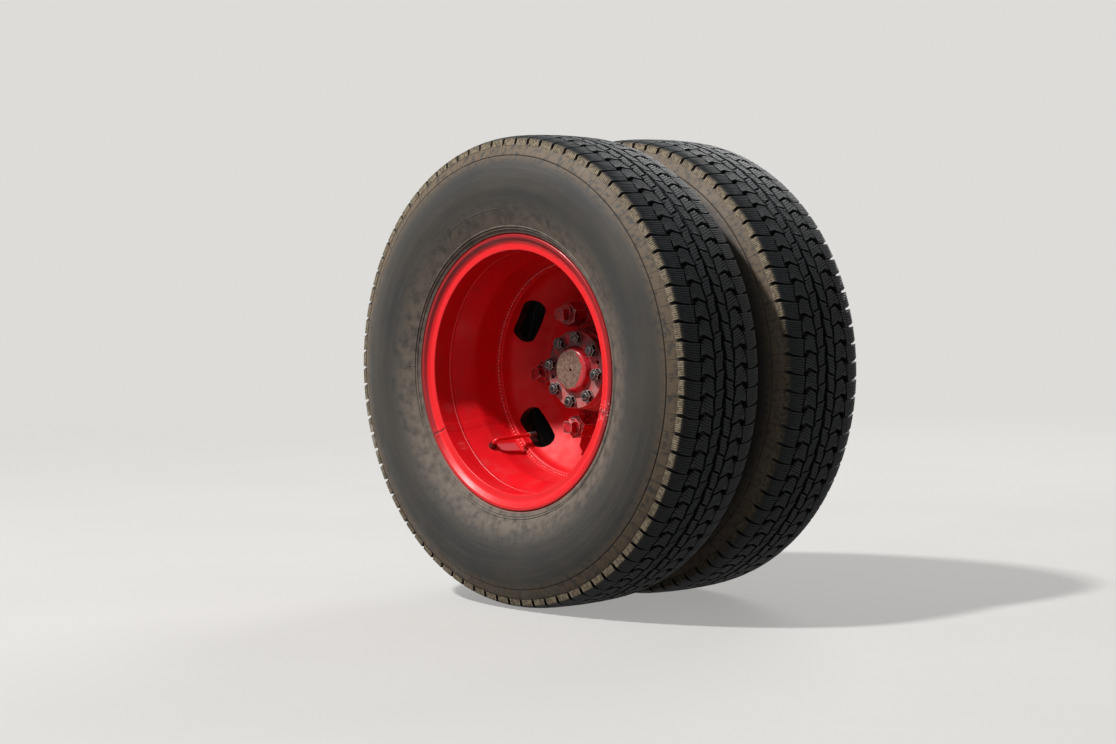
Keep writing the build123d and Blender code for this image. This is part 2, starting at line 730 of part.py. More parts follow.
def valve_nut(angle, stations):
    """Nut that holds the base to the rim."""
    flats = RegularPolygon(valve_nut_across / 2, 6, major_radius=False)
    return extrude(valve_seat(angle, stations) * Pos(0, 0, valve_base[1]) * flats, valve_nut_height)


def valve_stem(angle, stations, bends):
    points = valve_stations(angle, stations)
    path = FilletPolyline(*points, radius=bends)
    stem = sweep(valve_seat(angle, stations) * Circle(valve_radius), path)
    return stem + valve_foot(angle, stations) + valve_nut(angle, stations)


def valve_cap(angle, stations):
    points = valve_stations(angle, stations)
    tip = Plane(origin=points[-1], z_dir=points[-1] - points[-2])
    cap = Pos(0, 0, valve_cap_length / 2) * Cylinder(valve_cap_radius, valve_cap_length)
    return tip * fillet(cap.edges().sort_by(Axis.Z)[-1], valve_cap_rounding)


valves = {  # angle round the axle, (height over drop centre, out) of each bend from rim to cap, radii
    "inner": (inner_valve_angle, [(inner_valve_height, -inner_valve_out), (6.0, 16.8 - inner_valve_out),
                                  (-15.0, -4.0), (-19.0, disc_knee - 9.0)], [valve_bend, 30.0]),
    "outer": (outer_valve_angle, [(outer_valve_height, outer_valve_out),
                                  (outer_valve_height - outer_valve_rise,
                                   outer_valve_out + outer_valve_rise * barrel_slope),
                                  (-20.0, disc_knee + 10.0)], [valve_bend]),
}
for prefix, side in (("outer", 1), ("inner", -1)):
    angle, route, bends = valves[prefix]
    stations = [(well_radius + height, out) for height, out in route]
    save(prefix + "_tyre", tyre(side))
    save(prefix + "_rim", rim(side) - valve_foot(angle, stations))
    save(prefix + "_disc", disc(side))
    save(prefix + "_valve", valve_stem(angle, stations, bends))
    save(prefix + "_valve_cap", valve_cap(angle, stations))

save("wheel_studs", *copies(wheel_stud(), stud_count, stud_pcr, stud_angle))
save("inner_wheel_nuts", *row_of([sleeve_nut(turn) for turn in sleeve_turns], stud_pcr, stud_angle))
save("outer_wheel_nuts", *row_of([outer_nut(turn) for turn in nut_turns], stud_pcr, stud_angle))
save("hub", hub())
save("brake_drum", brake_drum())
save("axle_shaft", axle_shaft())
shaft_stud = stud(shaft_stud_radius, hub_face - shaft_stud_depth,
                  shaft_face + shaft_washer_thickness + shaft_nut_height + shaft_stud_proud)
washer = (bar(shaft_washer_radius, shaft_face, shaft_face + shaft_washer_thickness)
          - bar(shaft_stud_radius, shaft_face, shaft_face + shaft_washer_thickness))
save("axle_shaft_studs", *copies(shaft_stud, shaft_nut_count, shaft_nut_pcr, shaft_nut_angle))
save("axle_shaft_washers", *copies(washer, shaft_nut_count, shaft_nut_pcr, shaft_nut_angle))
save("axle_shaft_nuts", *row_of([shaft_nut(number * shaft_nut_turn) for number in range(shaft_nut_count)],
                                shaft_nut_pcr, shaft_nut_angle))

save("spindle", spindle())
for node, outside, inside, span in (
        ("front_bearing", front_bearing_radius, front_bearing_bore, front_bearing),
        ("rear_bearing", rear_bearing_radius, rear_bearing_bore, rear_bearing)):
    save(node, bar(outside, *span) - bar(inside, *span))
save("spindle_nut", bar(spindle_nut_radius, front_bearing[1], front_bearing[1] + spindle_nut_thickness)
     - bar(front_bearing_bore, front_bearing[1], front_bearing[1] + spindle_nut_thickness))
save("backing_plate", backing_plate())
save("plate_bolts", *copies(plate_bolt(), plate_bolt_count, plate_bolt_pcr, 0.0))
save("wheel_cylinders", wheel_cylinder(1), wheel_cylinder(-1))
save("brake_pipe", brake_pipe())
save("brake_union", brake_union())
save("bleed_screws", *[Pos(port_spacing, 0, way * cylinder_pcr) * bleed_screw() for way in (1, -1)])
save("plate_plugs", *copies(plug(), plug_count, plug_pcr, plug_angle))
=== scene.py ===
# %% [markdown]
# # A driven twin rear wheel
# The object is the driven end of a light truck's rear axle: two tyres on red steel wheels, bolted
# back to back on one hub, with the brake drum and the end of the axle tube behind them.
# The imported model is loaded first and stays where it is. Everything made here fits round it.

# %% Load the fixed frame
from math import cos, pi, radians, sin

import bmesh
import bpy
from mathutils import Matrix, Vector


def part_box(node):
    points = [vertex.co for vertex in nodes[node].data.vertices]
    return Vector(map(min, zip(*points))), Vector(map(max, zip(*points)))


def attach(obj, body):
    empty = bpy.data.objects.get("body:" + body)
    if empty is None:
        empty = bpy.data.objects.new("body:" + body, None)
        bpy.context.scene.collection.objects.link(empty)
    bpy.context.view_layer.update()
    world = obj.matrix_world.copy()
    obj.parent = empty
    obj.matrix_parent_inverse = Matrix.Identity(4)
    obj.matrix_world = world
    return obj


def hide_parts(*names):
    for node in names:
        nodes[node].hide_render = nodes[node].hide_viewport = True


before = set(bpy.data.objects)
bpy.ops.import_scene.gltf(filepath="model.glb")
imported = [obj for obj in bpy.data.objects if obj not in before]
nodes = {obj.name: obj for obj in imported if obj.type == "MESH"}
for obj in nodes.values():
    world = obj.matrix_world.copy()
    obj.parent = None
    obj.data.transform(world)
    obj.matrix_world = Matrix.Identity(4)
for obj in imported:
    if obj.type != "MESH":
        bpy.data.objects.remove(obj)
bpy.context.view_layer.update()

# %% [markdown]
# The axle line is the Y axis of the frame and -Y points at the viewer. A millimetre is named once,
# because real sizes of tyres, nuts and paint flakes are easier to read in millimetres. The places of
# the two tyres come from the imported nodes, so the detailed tyres land exactly on the plain ones.

# %% Places read from the frame
mm = 0.001
tyre_low, tyre_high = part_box("outer_tyre")
inner_low, inner_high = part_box("inner_tyre")
tyre_radius = tyre_high.z
tyre_middle = (tyre_low.y + tyre_high.y) / 2
inner_middle = (inner_low.y + inner_high.y) / 2
twin_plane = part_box("outer_disc")[1].y
floor_level = tyre_low.z
print("tyre radius", round(tyre_radius, 4), "twin plane", round(twin_plane, 4))

# %% [markdown]
# The photograph looks slightly down at the wheel, about 46 degrees off the axle. The camera's place
# and lens were worked out from round features of known size: the flange of the wheel, the circle of
# the hub's nuts and the hand holes. The whole frame of the photograph is kept.

# %% Camera at the photograph's angle
camera_place = (2.99293, -3.34428, 0.21380)
degrees_down = 2.9698
degrees_off_axle = 45.8447
lens_mm = 78.148

camera = bpy.data.objects.new("camera", bpy.data.cameras.new("camera"))
bpy.context.scene.collection.objects.link(camera)
camera.location = camera_place
camera.rotation_euler = (radians(90 - degrees_down), 0, radians(degrees_off_axle))
camera.data.lens = lens_mm
camera.data.sensor_width = 36
bpy.context.scene.camera = camera
bpy.context.scene.view_settings.view_transform = "Standard"
print("camera", [round(v, 3) for v in camera.location])

# %% [markdown]
# A material is a small network of nodes. One function adds a node, sets its inputs and hands back
# one of its outputs, so that networks can be written from the inside out, like a sum. Another turns
# the colour that an eye reads off a picture into the linear light values that the renderer uses.

# %% Adding a node
def srgb(code):
    """Linear colour of an sRGB hex code."""
    parts = [int(code[i:i + 2], 16) / 255 for i in (1, 3, 5)]
    return [c / 12.92 if c <= 0.04045 else ((c + 0.055) / 1.055) ** 2.4 for c in parts] + [1.0]


def add(tree, kind, inputs=None, out=0, **settings):
    """Adds a node. An input is a number, a vector, a colour code or the output that feeds it."""
    node = tree.nodes.new("ShaderNode" + kind)
    for name, value in settings.items():
        setattr(node, name, value)
    for name, value in (inputs or {}).items():
        if isinstance(value, bpy.types.NodeSocket):
            tree.links.new(value, node.inputs[name])
        else:
            node.inputs[name].default_value = srgb(value) if isinstance(value, str) else value
    return node.outputs[out] if node.outputs else node


print("a mid grey is", [round(c, 3) for c in srgb("#808080")[:3]], "in linear light")

# %% [markdown]
# Dirt, fading and wear lie in patches, so most masks here start as noise that is cut off between
# two levels. Rubber, castings and sprayed paint are also rough at a small scale, which a bump from
# fine noise gives. Sizes are real ones, so a patch is as large on every piece. A seed moves a
# pattern, so that two kinds of dirt on one piece don't lie in the same places.

# %% Patches and grain
def patches(tree, size, low, high, most=1.0, seed=0.0, detail=5.0):
    """Mask that rises to most where noise of this size is high."""
    where = add(tree, "TexCoord", out="Object")
    cloud = add(tree, "TexNoise", {"Vector": where, "W": seed, "Scale": 1 / size, "Detail": detail},
                noise_dimensions="4D")
    return add(tree, "MapRange", {"Value": cloud, "From Min": low, "From Max": high, "To Max": most},
               interpolation_type="SMOOTHSTEP")


def grain(tree, size, depth, under=None):
    """Normal of a surface that is rough at this size and depth, over another normal if given."""
    where = add(tree, "TexCoord", out="Object")
    rough = add(tree, "TexNoise", {"Vector": where, "Scale": 1 / size, "Detail": 2.0})
    inputs = {"Height": rough, "Distance": depth, "Strength": 1.0}
    if under:
        inputs["Normal"] = under
    return add(tree, "Bump", inputs)


print("patches and grain ready")

# %% [markdown]
# Much on a wheel follows its turning: scuffs run round the tyre, dust lies in rings, and a paint
# chip sits at one radius and one angle. For these the position is turned into polar form. A window
# is a mask round one value of it, such as a ring or a narrow sector.

# %% Rings and windows
def polar(tree):
    """Distance from the axle in metres, way round it in radians, and place along it."""
    where = add(tree, "TexCoord", out="Object")
    parts = add(tree, "SeparateXYZ", {"Vector": where}).node.outputs
    across = add(tree, "CombineXYZ", {"X": parts["X"], "Z": parts["Z"]})
    radius = add(tree, "VectorMath", {0: across}, "Value", operation="LENGTH")
    angle = add(tree, "Math", {0: parts["Z"], 1: parts["X"]}, operation="ARCTAN2")
    return radius, angle, parts["Y"]


def window(tree, value, middle, reach, soft, most=1.0):
    """Mask round one value: full within its reach, and gone when it is further off by soft."""
    away = add(tree, "Math", {0: value, 1: middle}, operation="SUBTRACT")
    away = add(tree, "Math", {0: away}, operation="ABSOLUTE")
    return add(tree, "MapRange", {"Value": away, "From Min": reach + soft, "From Max": reach,
                                  "To Max": most}, interpolation_type="SMOOTHSTEP")


def streaks(tree, radius, angle, across, along, low, high, most=1.0):
    """Mask of streaks that run round the axle, so wide across and so long along."""
    turn = {"X": add(tree, "Math", {0: radius, 1: 1 / across}, operation="MULTIPLY")}
    for axis, kind in (("Y", "COSINE"), ("Z", "SINE")):
        wave = add(tree, "Math", {0: angle}, operation=kind)
        turn[axis] = add(tree, "Math", {0: wave, 1: tyre_radius / along}, operation="MULTIPLY")
    place = add(tree, "CombineXYZ", turn)
    cloud = add(tree, "TexNoise", {"Vector": place, "Scale": 1.0, "Detail": 3.0})
    return add(tree, "MapRange", {"Value": cloud, "From Min": low, "From Max": high, "To Max": most},
               interpolation_type="SMOOTHSTEP")


print("polar patterns ready")

# %% [markdown]
# Every material of the object ends in the same two nodes, one general shader and the output. A few
# helpers that most finishes use follow: a new empty material, coats of colour that lie over each
# other as dirt lies on paint, a mask where others meet, and the end.

# %% Start, coats and end of a material
def empty_material(name):
    material = bpy.data.materials.new(name)
    material.use_nodes = True
    material.node_tree.nodes.clear()
    return material, material.node_tree


def layered(tree, colour, *coats):
    """Lays coats over a first colour. A coat is a mask, and the colour that shows where it is high."""
    for mask, coat in coats:
        colour = add(tree, "Mix", {"Factor": mask, "A": colour, "B": coat}, "Result", data_type="RGBA")
    return colour


def overlap(tree, mask, *others):
    """Mask that is high only where all of these masks are."""
    for other in others:
        mask = add(tree, "Math", {0: mask, 1: other}, operation="MULTIPLY")
    return mask


def surface(tree, inputs):
    """Ends a material's network with one shader."""
    add(tree, "OutputMaterial", {"Surface": add(tree, "BsdfPrincipled", inputs)})


print("materials can be built")

# %% [markdown]
# A tyre's mould leaves fine raised lines on the sidewall: the outline of a long pill beside the rim,
# and short marks where the mould was vented. They stand out by about a millimetre, so a bump in the
# material shows them as well as a cut in the mesh would. The pill is drawn as all places that are
# equally far from a short arc.

# %% Lines of the tyre's mould
pill_angle = radians(107)
pill_radius = 263 * mm
pill_half_length = 56 * mm
pill_half_width = 14.5 * mm
line_height = 1.2 * mm
vent_marks = [(82.3, 241.5, 5.5), (179.3, 254, 7.0), (-61.0, 254, 7.0)]  # degrees, radius, half length


def mould_lines(tree, radius, angle, under):
    """Normal of the mould's raised lines, over another normal."""
    turn = add(tree, "Math", {0: angle, 1: pill_angle}, operation="SUBTRACT")
    reach = add(tree, "Math", {0: turn, 1: pill_radius}, operation="MULTIPLY")
    reach = add(tree, "Math", {0: reach}, operation="ABSOLUTE")
    reach = add(tree, "Math", {0: reach, 1: pill_half_length}, operation="SUBTRACT")
    reach = add(tree, "Math", {0: reach, 1: 0.0}, operation="MAXIMUM")
    rise = add(tree, "Math", {0: radius, 1: pill_radius}, operation="SUBTRACT")
    away = add(tree, "VectorMath", {0: add(tree, "CombineXYZ", {"X": reach, "Y": rise})}, "Value",
               operation="LENGTH")
    line = window(tree, away, pill_half_width, 0.6 * mm, 0.5 * mm)
    for way, middle, half in vent_marks:
        mark = overlap(tree, window(tree, angle, radians(way), 0.003, 0.002),
                       window(tree, radius, middle * mm, half * mm, mm))
        line = add(tree, "Math", {0: line, 1: mark}, operation="MAXIMUM")
    return add(tree, "Bump", {"Height": line, "Distance": line_height, "Strength": 1.0,
                              "Normal": under})


print("the pill lies", round(pill_radius / mm), "mm from the axle")

# %% [markdown]
# Tyre sidewalls are moulded rubber that has been outside for years. Fresh rubber is nearly black,
# but the wax that comes to its surface makes it a mid grey. Brown road dust stays in the ring by
# the rim and below the tread, fine scuffs run round it, and a short crack goes down from each
# groove. The groove floors, which belong to the same piece, are painted nearly black as painted shade.

# %% Sidewall rubber
tread_pitches = 82


def sidewall_rubber():
    material, tree = empty_material("moulded_rubber_weathered")
    radius, angle, _ = polar(tree)
    bands = streaks(tree, radius, angle, 38 * mm, 300 * mm, 0.3, 0.7)
    clean = patches(tree, 120 * mm, 0.4, 0.75, 0.5, seed=14.0)
    scuffs = streaks(tree, radius, angle, 2.5 * mm, 160 * mm, 0.5, 0.78, 0.25)
    smears = patches(tree, 12 * mm, 0.58, 0.75, 0.3, seed=3.0)
    beside_rim = add(tree, "MapRange", {"Value": radius, "From Min": 306 * mm, "From Max": 250 * mm,
                                        "To Max": 0.95}, interpolation_type="SMOOTHSTEP")
    dust = overlap(tree, beside_rim, patches(tree, 13 * mm, 0.2, 0.68, 0.85, seed=5.0))
    shoulder = add(tree, "MapRange", {"Value": radius, "From Min": 350 * mm, "From Max": 374 * mm},
                   interpolation_type="SMOOTHSTEP")
    mud = overlap(tree, shoulder, patches(tree, 9 * mm, 0.3, 0.56, 0.95, seed=8.0))
    # Beside the rim's lip the rubber is painted a pale reddish brown: dust, painted lighter as painted
    # light over the shade that falls there.
    crevice_dust_and_light = window(tree, radius, 233 * mm, 3.4 * mm, 2.5 * mm, 0.8)
    ring_line = window(tree, radius, 367.2 * mm, 0.5 * mm, 0.8 * mm, 0.8)
    turns = add(tree, "Math", {0: angle, 1: tread_pitches / (2 * pi)}, operation="MULTIPLY")
    turns = add(tree, "Math", {0: turns}, operation="FRACT")
    crack = overlap(tree, window(tree, turns, 0.21, 0.012, 0.02, 0.7),
                    window(tree, radius, 377 * mm, 8 * mm, mm))
    # Painted shade: the groove floors are nearly black.
    groove_floor_shade = add(tree, "MapRange", {"Value": radius, "From Min": 384.5 * mm,
                                          "From Max": 387 * mm})
    colour = layered(tree, "#3E3D3B", (bands, "#49453F"), (clean, "#2E2F31"), (scuffs, "#65605A"),
                     (smears, "#2E2C2A"), (dust, "#7E7266"), (mud, "#6B5C4B"), (crevice_dust_and_light, "#96645A"),
                     (ring_line, "#26221F"), (crack, "#2B251F"), (groove_floor_shade, "#161514"))
    polish = patches(tree, 45 * mm, 0.35, 0.7, 0.14, seed=11.0)
    surface(tree, {"Base Color": colour, "Specular IOR Level": 0.25,
                   "Roughness": add(tree, "Math", {0: 0.62, 1: polish}, operation="SUBTRACT"),
                   "Normal": mould_lines(tree, radius, angle, grain(tree, 0.9 * mm, 0.05 * mm))})
    return material


rubber_side = sidewall_rubber()
print(rubber_side.name, len(rubber_side.node_tree.nodes), "nodes")

# %% [markdown]
# The tread runs on the road, so its tops are worn to a clean dark grey. Towards the groove floors
# the colour is painted darker, as painted shade. The outer faces of the shoulder blocks are tan with
# dried mud, which is thickest low down.
# Which faces those are is read from the normal and from how far they lie beside a tyre's middle.

# %% Tread rubber
def tread_rubber():
    material, tree = empty_material("moulded_rubber_worn_tread")
    radius, _, along = polar(tree)
    worn = patches(tree, 14 * mm, 0.35, 0.7)
    # Painted shade: the colour darkens with depth towards the groove floors.
    depth = add(tree, "MapRange", {"Value": radius, "From Min": 397 * mm, "From Max": 388 * mm})
    sideways = add(tree, "SeparateXYZ", {"Vector": add(tree, "NewGeometry", out="Normal")}, "Y")
    sideways = add(tree, "Math", {0: sideways}, operation="ABSOLUTE")
    sideways = add(tree, "MapRange", {"Value": sideways, "From Min": 0.35, "From Max": 0.6})
    offsets = []
    for middle in (tyre_middle, inner_middle):
        offset = add(tree, "Math", {0: along, 1: middle}, operation="SUBTRACT")
        offsets.append(add(tree, "Math", {0: offset}, operation="ABSOLUTE"))
    beside = add(tree, "Math", {0: offsets[0], 1: offsets[1]}, operation="MINIMUM")
    beside = add(tree, "MapRange", {"Value": beside, "From Min": 83 * mm, "From Max": 86 * mm})
    low = add(tree, "MapRange", {"Value": radius, "From Min": 399 * mm, "From Max": 391 * mm,
                                 "To Min": 0.3}, interpolation_type="SMOOTHSTEP")
    mud = overlap(tree, sideways, beside, low)
    tan = layered(tree, "#988A74", (patches(tree, 5 * mm, 0.38, 0.62), "#6C6051"))
    colour = layered(tree, "#1D1F21", (worn, "#2B2E31"), (depth, "#121212"), (mud, tan))
    surface(tree, {"Base Color": colour, "Roughness": 0.58, "Specular IOR Level": 0.2,
                   "Normal": grain(tree, 0.7 * mm, 0.1 * mm)})
    return material


rubber_tread = tread_rubber()
print(rubber_tread.name)

# %% [markdown]
# The steel wheels were sprayed with gloss enamel over a rolled and welded rim. The paint has a
# slight orange peel over the waves of the rolled steel, a thin veil of road dust that turns it
# pinkish, and small dark specks. What differs between the rim and the disc is handed in as marks,
# a function that adds its own coats and relief.

# %% Red enamel
def enamel(name, veil, rough, coat, gloss, marks):
    """Red enamel under a veil of dust, with the marks that its piece has."""
    material, tree = empty_material(name)
    fade = patches(tree, 60 * mm, 0.35, 0.7, 0.5)
    dust = patches(tree, 24 * mm, 0.46, 0.74, veil, seed=2.0, detail=7.0)
    specks = patches(tree, 2.4 * mm, 0.62, 0.68, veil, seed=4.0)
    colour = layered(tree, "#E0151F", (fade, "#D00F19"), (dust, "#A8403E"), (specks, "#6B2A26"))
    waves = grain(tree, 3.5 * mm, 0.03 * mm, grain(tree, 38 * mm, 0.25 * mm))
    colour, normal = marks(tree, colour, waves)
    rough = add(tree, "MapRange", {"Value": dust, "From Max": veil, "To Min": rough,
                                   "To Max": rough + 0.15})
    surface(tree, {"Base Color": colour, "Roughness": rough, "Specular IOR Level": gloss,
                   "Coat Weight": coat, "Coat Roughness": 0.12, "Normal": normal})
    return material


print("enamel can be mixed")

# %% [markdown]
# The rim was rolled from a strip and closed by a butt weld, which was ground off but still shows as
# a line across the flange. The flange is wiped clean and painted a brighter red, which is partly
# painted light, and it is chipped and stained in one place, where something hit it. Its lip rises
# from a shallow hollow and is painted a darker red as painted shade, least at the bottom.

# %% Masks of the rim's flange
flange_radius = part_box("outer_rim")[1].z
seam_angle = radians(-150)


def flange_masks(tree, radius, angle):
    # The flange's brighter red is clean paint and partly painted light.
    flange = add(tree, "MapRange", {"Value": radius, "From Min": 207 * mm, "From Max": 209 * mm})
    hollow = add(tree, "MapRange", {"Value": radius, "From Min": 223.5 * mm, "From Max": 228.5 * mm})
    lip_shade = add(tree, "MapRange", {"Value": radius, "From Min": 223 * mm, "From Max": 224.5 * mm})
    height = add(tree, "Math", {0: add(tree, "Math", {0: angle}, operation="SINE"), 1: radius},
                 operation="MULTIPLY")
    # Painted shade: the lip is painted a darker red, fully above the bottom and least at the bottom.
    shaded = add(tree, "MapRange", {"Value": height, "From Min": -170 * mm, "From Max": -90 * mm,
                                    "To Min": 0.25, "To Max": 0.85})
    lip_shade = overlap(tree, lip_shade, shaded)
    seam = overlap(tree, window(tree, angle, seam_angle, 1.1 * mm / flange_radius, mm / flange_radius),
                   flange)
    ground = window(tree, angle, seam_angle, 5 * mm / flange_radius, 6 * mm / flange_radius)
    chips = overlap(tree, window(tree, angle, radians(-14.5), radians(4.0), radians(1.5)), flange,
                    patches(tree, 4 * mm, 0.56, 0.6, seed=6.0))
    stain = overlap(tree, window(tree, angle, radians(-15.2), radians(0.8), radians(1.4)),
                    patches(tree, 6 * mm, 0.42, 0.56, seed=7.0), flange)
    return flange, hollow, lip_shade, seam, ground, chips, stain


print("flange radius", round(flange_radius, 4))

# %% [markdown]
# In the barrel a ridge runs round the rim with a painted highlight along it, and two spots of it are
# scuffed. Under the valve's stem a pale pink patch is painted light. Behind the disc the rim is painted
# almost black, for brake dust and painted shade. All of this is placed by its distance out from the
# plane between the discs.

# %% Masks of the rim's barrel
ridge_out = 173 * mm
dust_and_shade_out = 66 * mm
scuffed_spots = [(207.3, 200.4, 187, 15), (207.2, 220.8, 188, 13)]  # radius, degrees, way out, reach


def spot(tree, radius, angle, out, reach):
    """Mask round one place on the wheel, given by radius, angle in degrees and distance out."""
    middle = (radius * cos(radians(angle)), twin_plane - out, radius * sin(radians(angle)))
    where = add(tree, "TexCoord", out="Object")
    away = add(tree, "VectorMath", {0: where, 1: middle}, "Value", operation="DISTANCE")
    return add(tree, "MapRange", {"Value": away, "From Min": reach, "From Max": 0.3 * reach},
               interpolation_type="SMOOTHSTEP")


def barrel_masks(tree, radius, angle, along):
    # Painted highlight: besides its relief, the ridge gets a pale pink line.
    ridge_and_highlight = window(tree, along, twin_plane - ridge_out, 0.8 * mm, 1.2 * mm)
    scuffs = [overlap(tree, spot(tree, ring * mm, way, out * mm, reach * mm),
                      streaks(tree, radius, angle, 30 * mm, 1.6 * mm, 0.52, 0.6, 0.5))
              for ring, way, out, reach in scuffed_spots]
    # Brake dust and painted shade: the rim behind the disc is painted almost black.
    behind = add(tree, "MapRange", {"Value": along, "From Min": twin_plane - dust_and_shade_out - 2 * mm,
                                    "From Max": twin_plane - dust_and_shade_out + 2 * mm})
    # Painted light: a pale pink patch on the barrel under the valve's stem.
    lit_patch_under_stem = overlap(tree, window(tree, along, twin_plane - 106 * mm, 16 * mm, 16 * mm, 0.75),
                  window(tree, angle, radians(-132.5), radians(1.8), radians(1.6)),
                  patches(tree, 14 * mm, 0.3, 0.5, seed=13.0))
    return ridge_and_highlight, scuffs, behind, lit_patch_under_stem


print(len(scuffed_spots), "scuffed spots")

# %% [markdown]
# The masks become coats of colour, in the order in which they lie on each other, and relief. The
# ground-off weld stands a little proud, and the seam in it and the chips are dents. The weld bead
# between rim and disc has thick and therefore glossier paint.

# %% Marks of the rim
def rim_marks(tree, colour, normal):
    radius, angle, along = polar(tree)
    flange, hollow, lip_shade, seam, ground, chips, stain = flange_masks(tree, radius, angle)
    ridge_and_highlight, scuffs, behind, lit_patch_under_stem = barrel_masks(tree, radius, angle, along)
    colour = layered(tree, colour, (flange, "#FA1720"), (lip_shade, "#8C0812"), (ridge_and_highlight, "#FF6468"),
                     (seam, "#8E1219"), (stain, "#84101A"), (chips, "#F0A8A6"),
                     *((scuff, "#E9807C") for scuff in scuffs), (behind, "#120807"), (lit_patch_under_stem, "#D0646A"))
    for height, rise in ((hollow, 1.2), (ridge_and_highlight, 1.1), (ground, 0.35), (seam, -0.7), (chips, -0.25)):
        normal = add(tree, "Bump", {"Height": height, "Distance": rise * mm, "Strength": 1.0,
                                    "Normal": normal})
    return colour, normal


rim_enamel = enamel("gloss_enamel_on_rolled_steel", veil=0.25, rough=0.34, coat=0.12, gloss=0.4,
                    marks=rim_marks)
bead_enamel = enamel("gloss_enamel_on_weld_bead", veil=0.1, rough=0.24, coat=0.2, gloss=0.4,
                     marks=rim_marks)
print(rim_enamel.name, len(rim_enamel.node_tree.nodes), "nodes")

# %% [markdown]
# The disc was pressed from plate, and its hand holes were punched. Brake dust blows out of them and
# little light gets in, so their walls and the disc's hidden back are painted almost black, for brake
# dust and painted shade. A wall of a hole is where the normal has nothing along the axle, below the
# knee of the disc. The back is where it points to the vehicle.

# %% Marks of the disc
def disc_marks(tree, colour, normal):
    radius, _, along = polar(tree)
    facing = add(tree, "SeparateXYZ", {"Vector": add(tree, "NewGeometry", out="Normal")}, "Y")
    inside = add(tree, "MapRange", {"Value": along, "From Min": twin_plane - 56 * mm,
                                    "From Max": twin_plane - 54 * mm})
    wall = overlap(tree, window(tree, facing, 0.0, 0.3, 0.15), inside)
    back = add(tree, "MapRange", {"Value": facing, "From Min": 0.15, "From Max": 0.4})
    # Brake dust and painted shade: the hole walls and the hidden back are almost black.
    brake_dust_and_shade = add(tree, "Math", {0: wall, 1: back}, operation="MAXIMUM")
    chalky = overlap(tree, window(tree, radius, 152 * mm, 20 * mm, 16 * mm, 0.14),
                     patches(tree, 30 * mm, 0.35, 0.65, seed=9.0))
    grease = overlap(tree, window(tree, radius, 78 * mm, 6 * mm, 8 * mm, 0.6),
                     patches(tree, 9 * mm, 0.34, 0.6, seed=10.0))
    return layered(tree, colour, (brake_dust_and_shade, "#140606"), (chalky, "#D4706A"), (grease, "#3B1C19")), normal


disc_enamel = enamel("satin_enamel_on_pressed_steel", veil=0.12, rough=0.54, coat=0.0, gloss=0.25,
                     marks=disc_marks)
print(disc_enamel.name)

# %% [markdown]
# The valve's stem was painted with the wheel. Its foot, in the corner of the barrel, is painted dark
# brown.

# %% Marks of the valve's stem
def stem_marks(tree, colour, normal):
    foot = add(tree, "MapRange", {"Value": polar(tree)[0], "From Min": 183 * mm, "From Max": 187 * mm,
                                  "To Max": 0.9})
    return layered(tree, colour, (foot, "#351310")), normal


stem_enamel = enamel("gloss_enamel_on_brass_stem", veil=0.2, rough=0.34, coat=0.12, gloss=0.4,
                     marks=stem_marks)
print(stem_enamel.name)

# %% [markdown]
# The inner wheel sits in the spray of both tyres and in the brake's dust, and is seldom washed. It
# has the same enamel, under a brown-black film that is thickest towards the brake. Its parts nearest
# the plane between the discs are painted almost black, as painted shade.

# %% Marks of the inner wheel
def sooty_and_shaded_marks(tree, colour, normal):
    radius, _, along = polar(tree)
    near_brake = add(tree, "MapRange", {"Value": radius, "From Min": 222 * mm, "From Max": 196 * mm,
                                        "To Min": 0.45}, interpolation_type="SMOOTHSTEP")
    film = overlap(tree, patches(tree, 40 * mm, 0.1, 0.6, 0.97, seed=12.0), near_brake)
    # Painted shade: the parts nearest the plane between the discs are almost black.
    between = add(tree, "MapRange", {"Value": along, "From Min": twin_plane + 90 * mm,
                                     "From Max": twin_plane + 68 * mm})
    return layered(tree, colour, (film, "#2E1714"), (between, "#120807")), normal


sooty_and_shaded_enamel = enamel("dusty_and_shaded_enamel_on_steel", veil=0.9, rough=0.55, coat=0.0, gloss=0.4,
                      marks=sooty_and_shaded_marks)
print(sooty_and_shaded_enamel.name)

# %% [markdown]
# Paint and plating wear off first along edges, and noise doesn't follow an edge. The shader can
# round a normal over an edge, though, so a mask that compares the rounded normal with the true one
# is high only beside edges.

# %% Mask of worn edges
def worn_edges(tree, width, low, high, most=1.0):
    """Mask along edges that stick out or in, about as wide as given."""
    rounded = add(tree, "Bevel", {"Radius": width}, samples=4)
    flat = add(tree, "NewGeometry", out="Normal")
    same = add(tree, "VectorMath", {0: rounded, 1: flat}, "Value", operation="DOT_PRODUCT")
    return add(tree, "MapRange", {"Value": same, "From Min": high, "From Max": low, "To Max": most},
               interpolation_type="SMOOTHSTEP")


print("worn edges can be found")

# %% [markdown]
# Nuts lose their paint first where the wrench bears. Their enamel is darker with oily dirt, and pale
# pink along the edges, where it is rubbed thin. The pale pink is also a painted highlight.

# %% Enamel of the wheel nuts
def nut_enamel():
    material, tree = empty_material("worn_enamel_on_nut_steel")
    stain = patches(tree, 7 * mm, 0.42, 0.62, 0.8, seed=1.0)
    # Pale pink along edges: rubbed paint, and also a painted highlight.
    pale_edges = overlap(tree, worn_edges(tree, 1.5 * mm, 0.84, 0.97),
                     patches(tree, 4 * mm, 0.25, 0.46, seed=2.0))
    surface(tree, {"Base Color": layered(tree, "#BC1824", (stain, "#3C1413"), (pale_edges, "#F4CDC8")),
                   "Roughness": 0.27, "Specular IOR Level": 0.5,
                   "Normal": grain(tree, 2.5 * mm, 0.06 * mm)})
    return material


wheel_nut_enamel = nut_enamel()
print(wheel_nut_enamel.name)

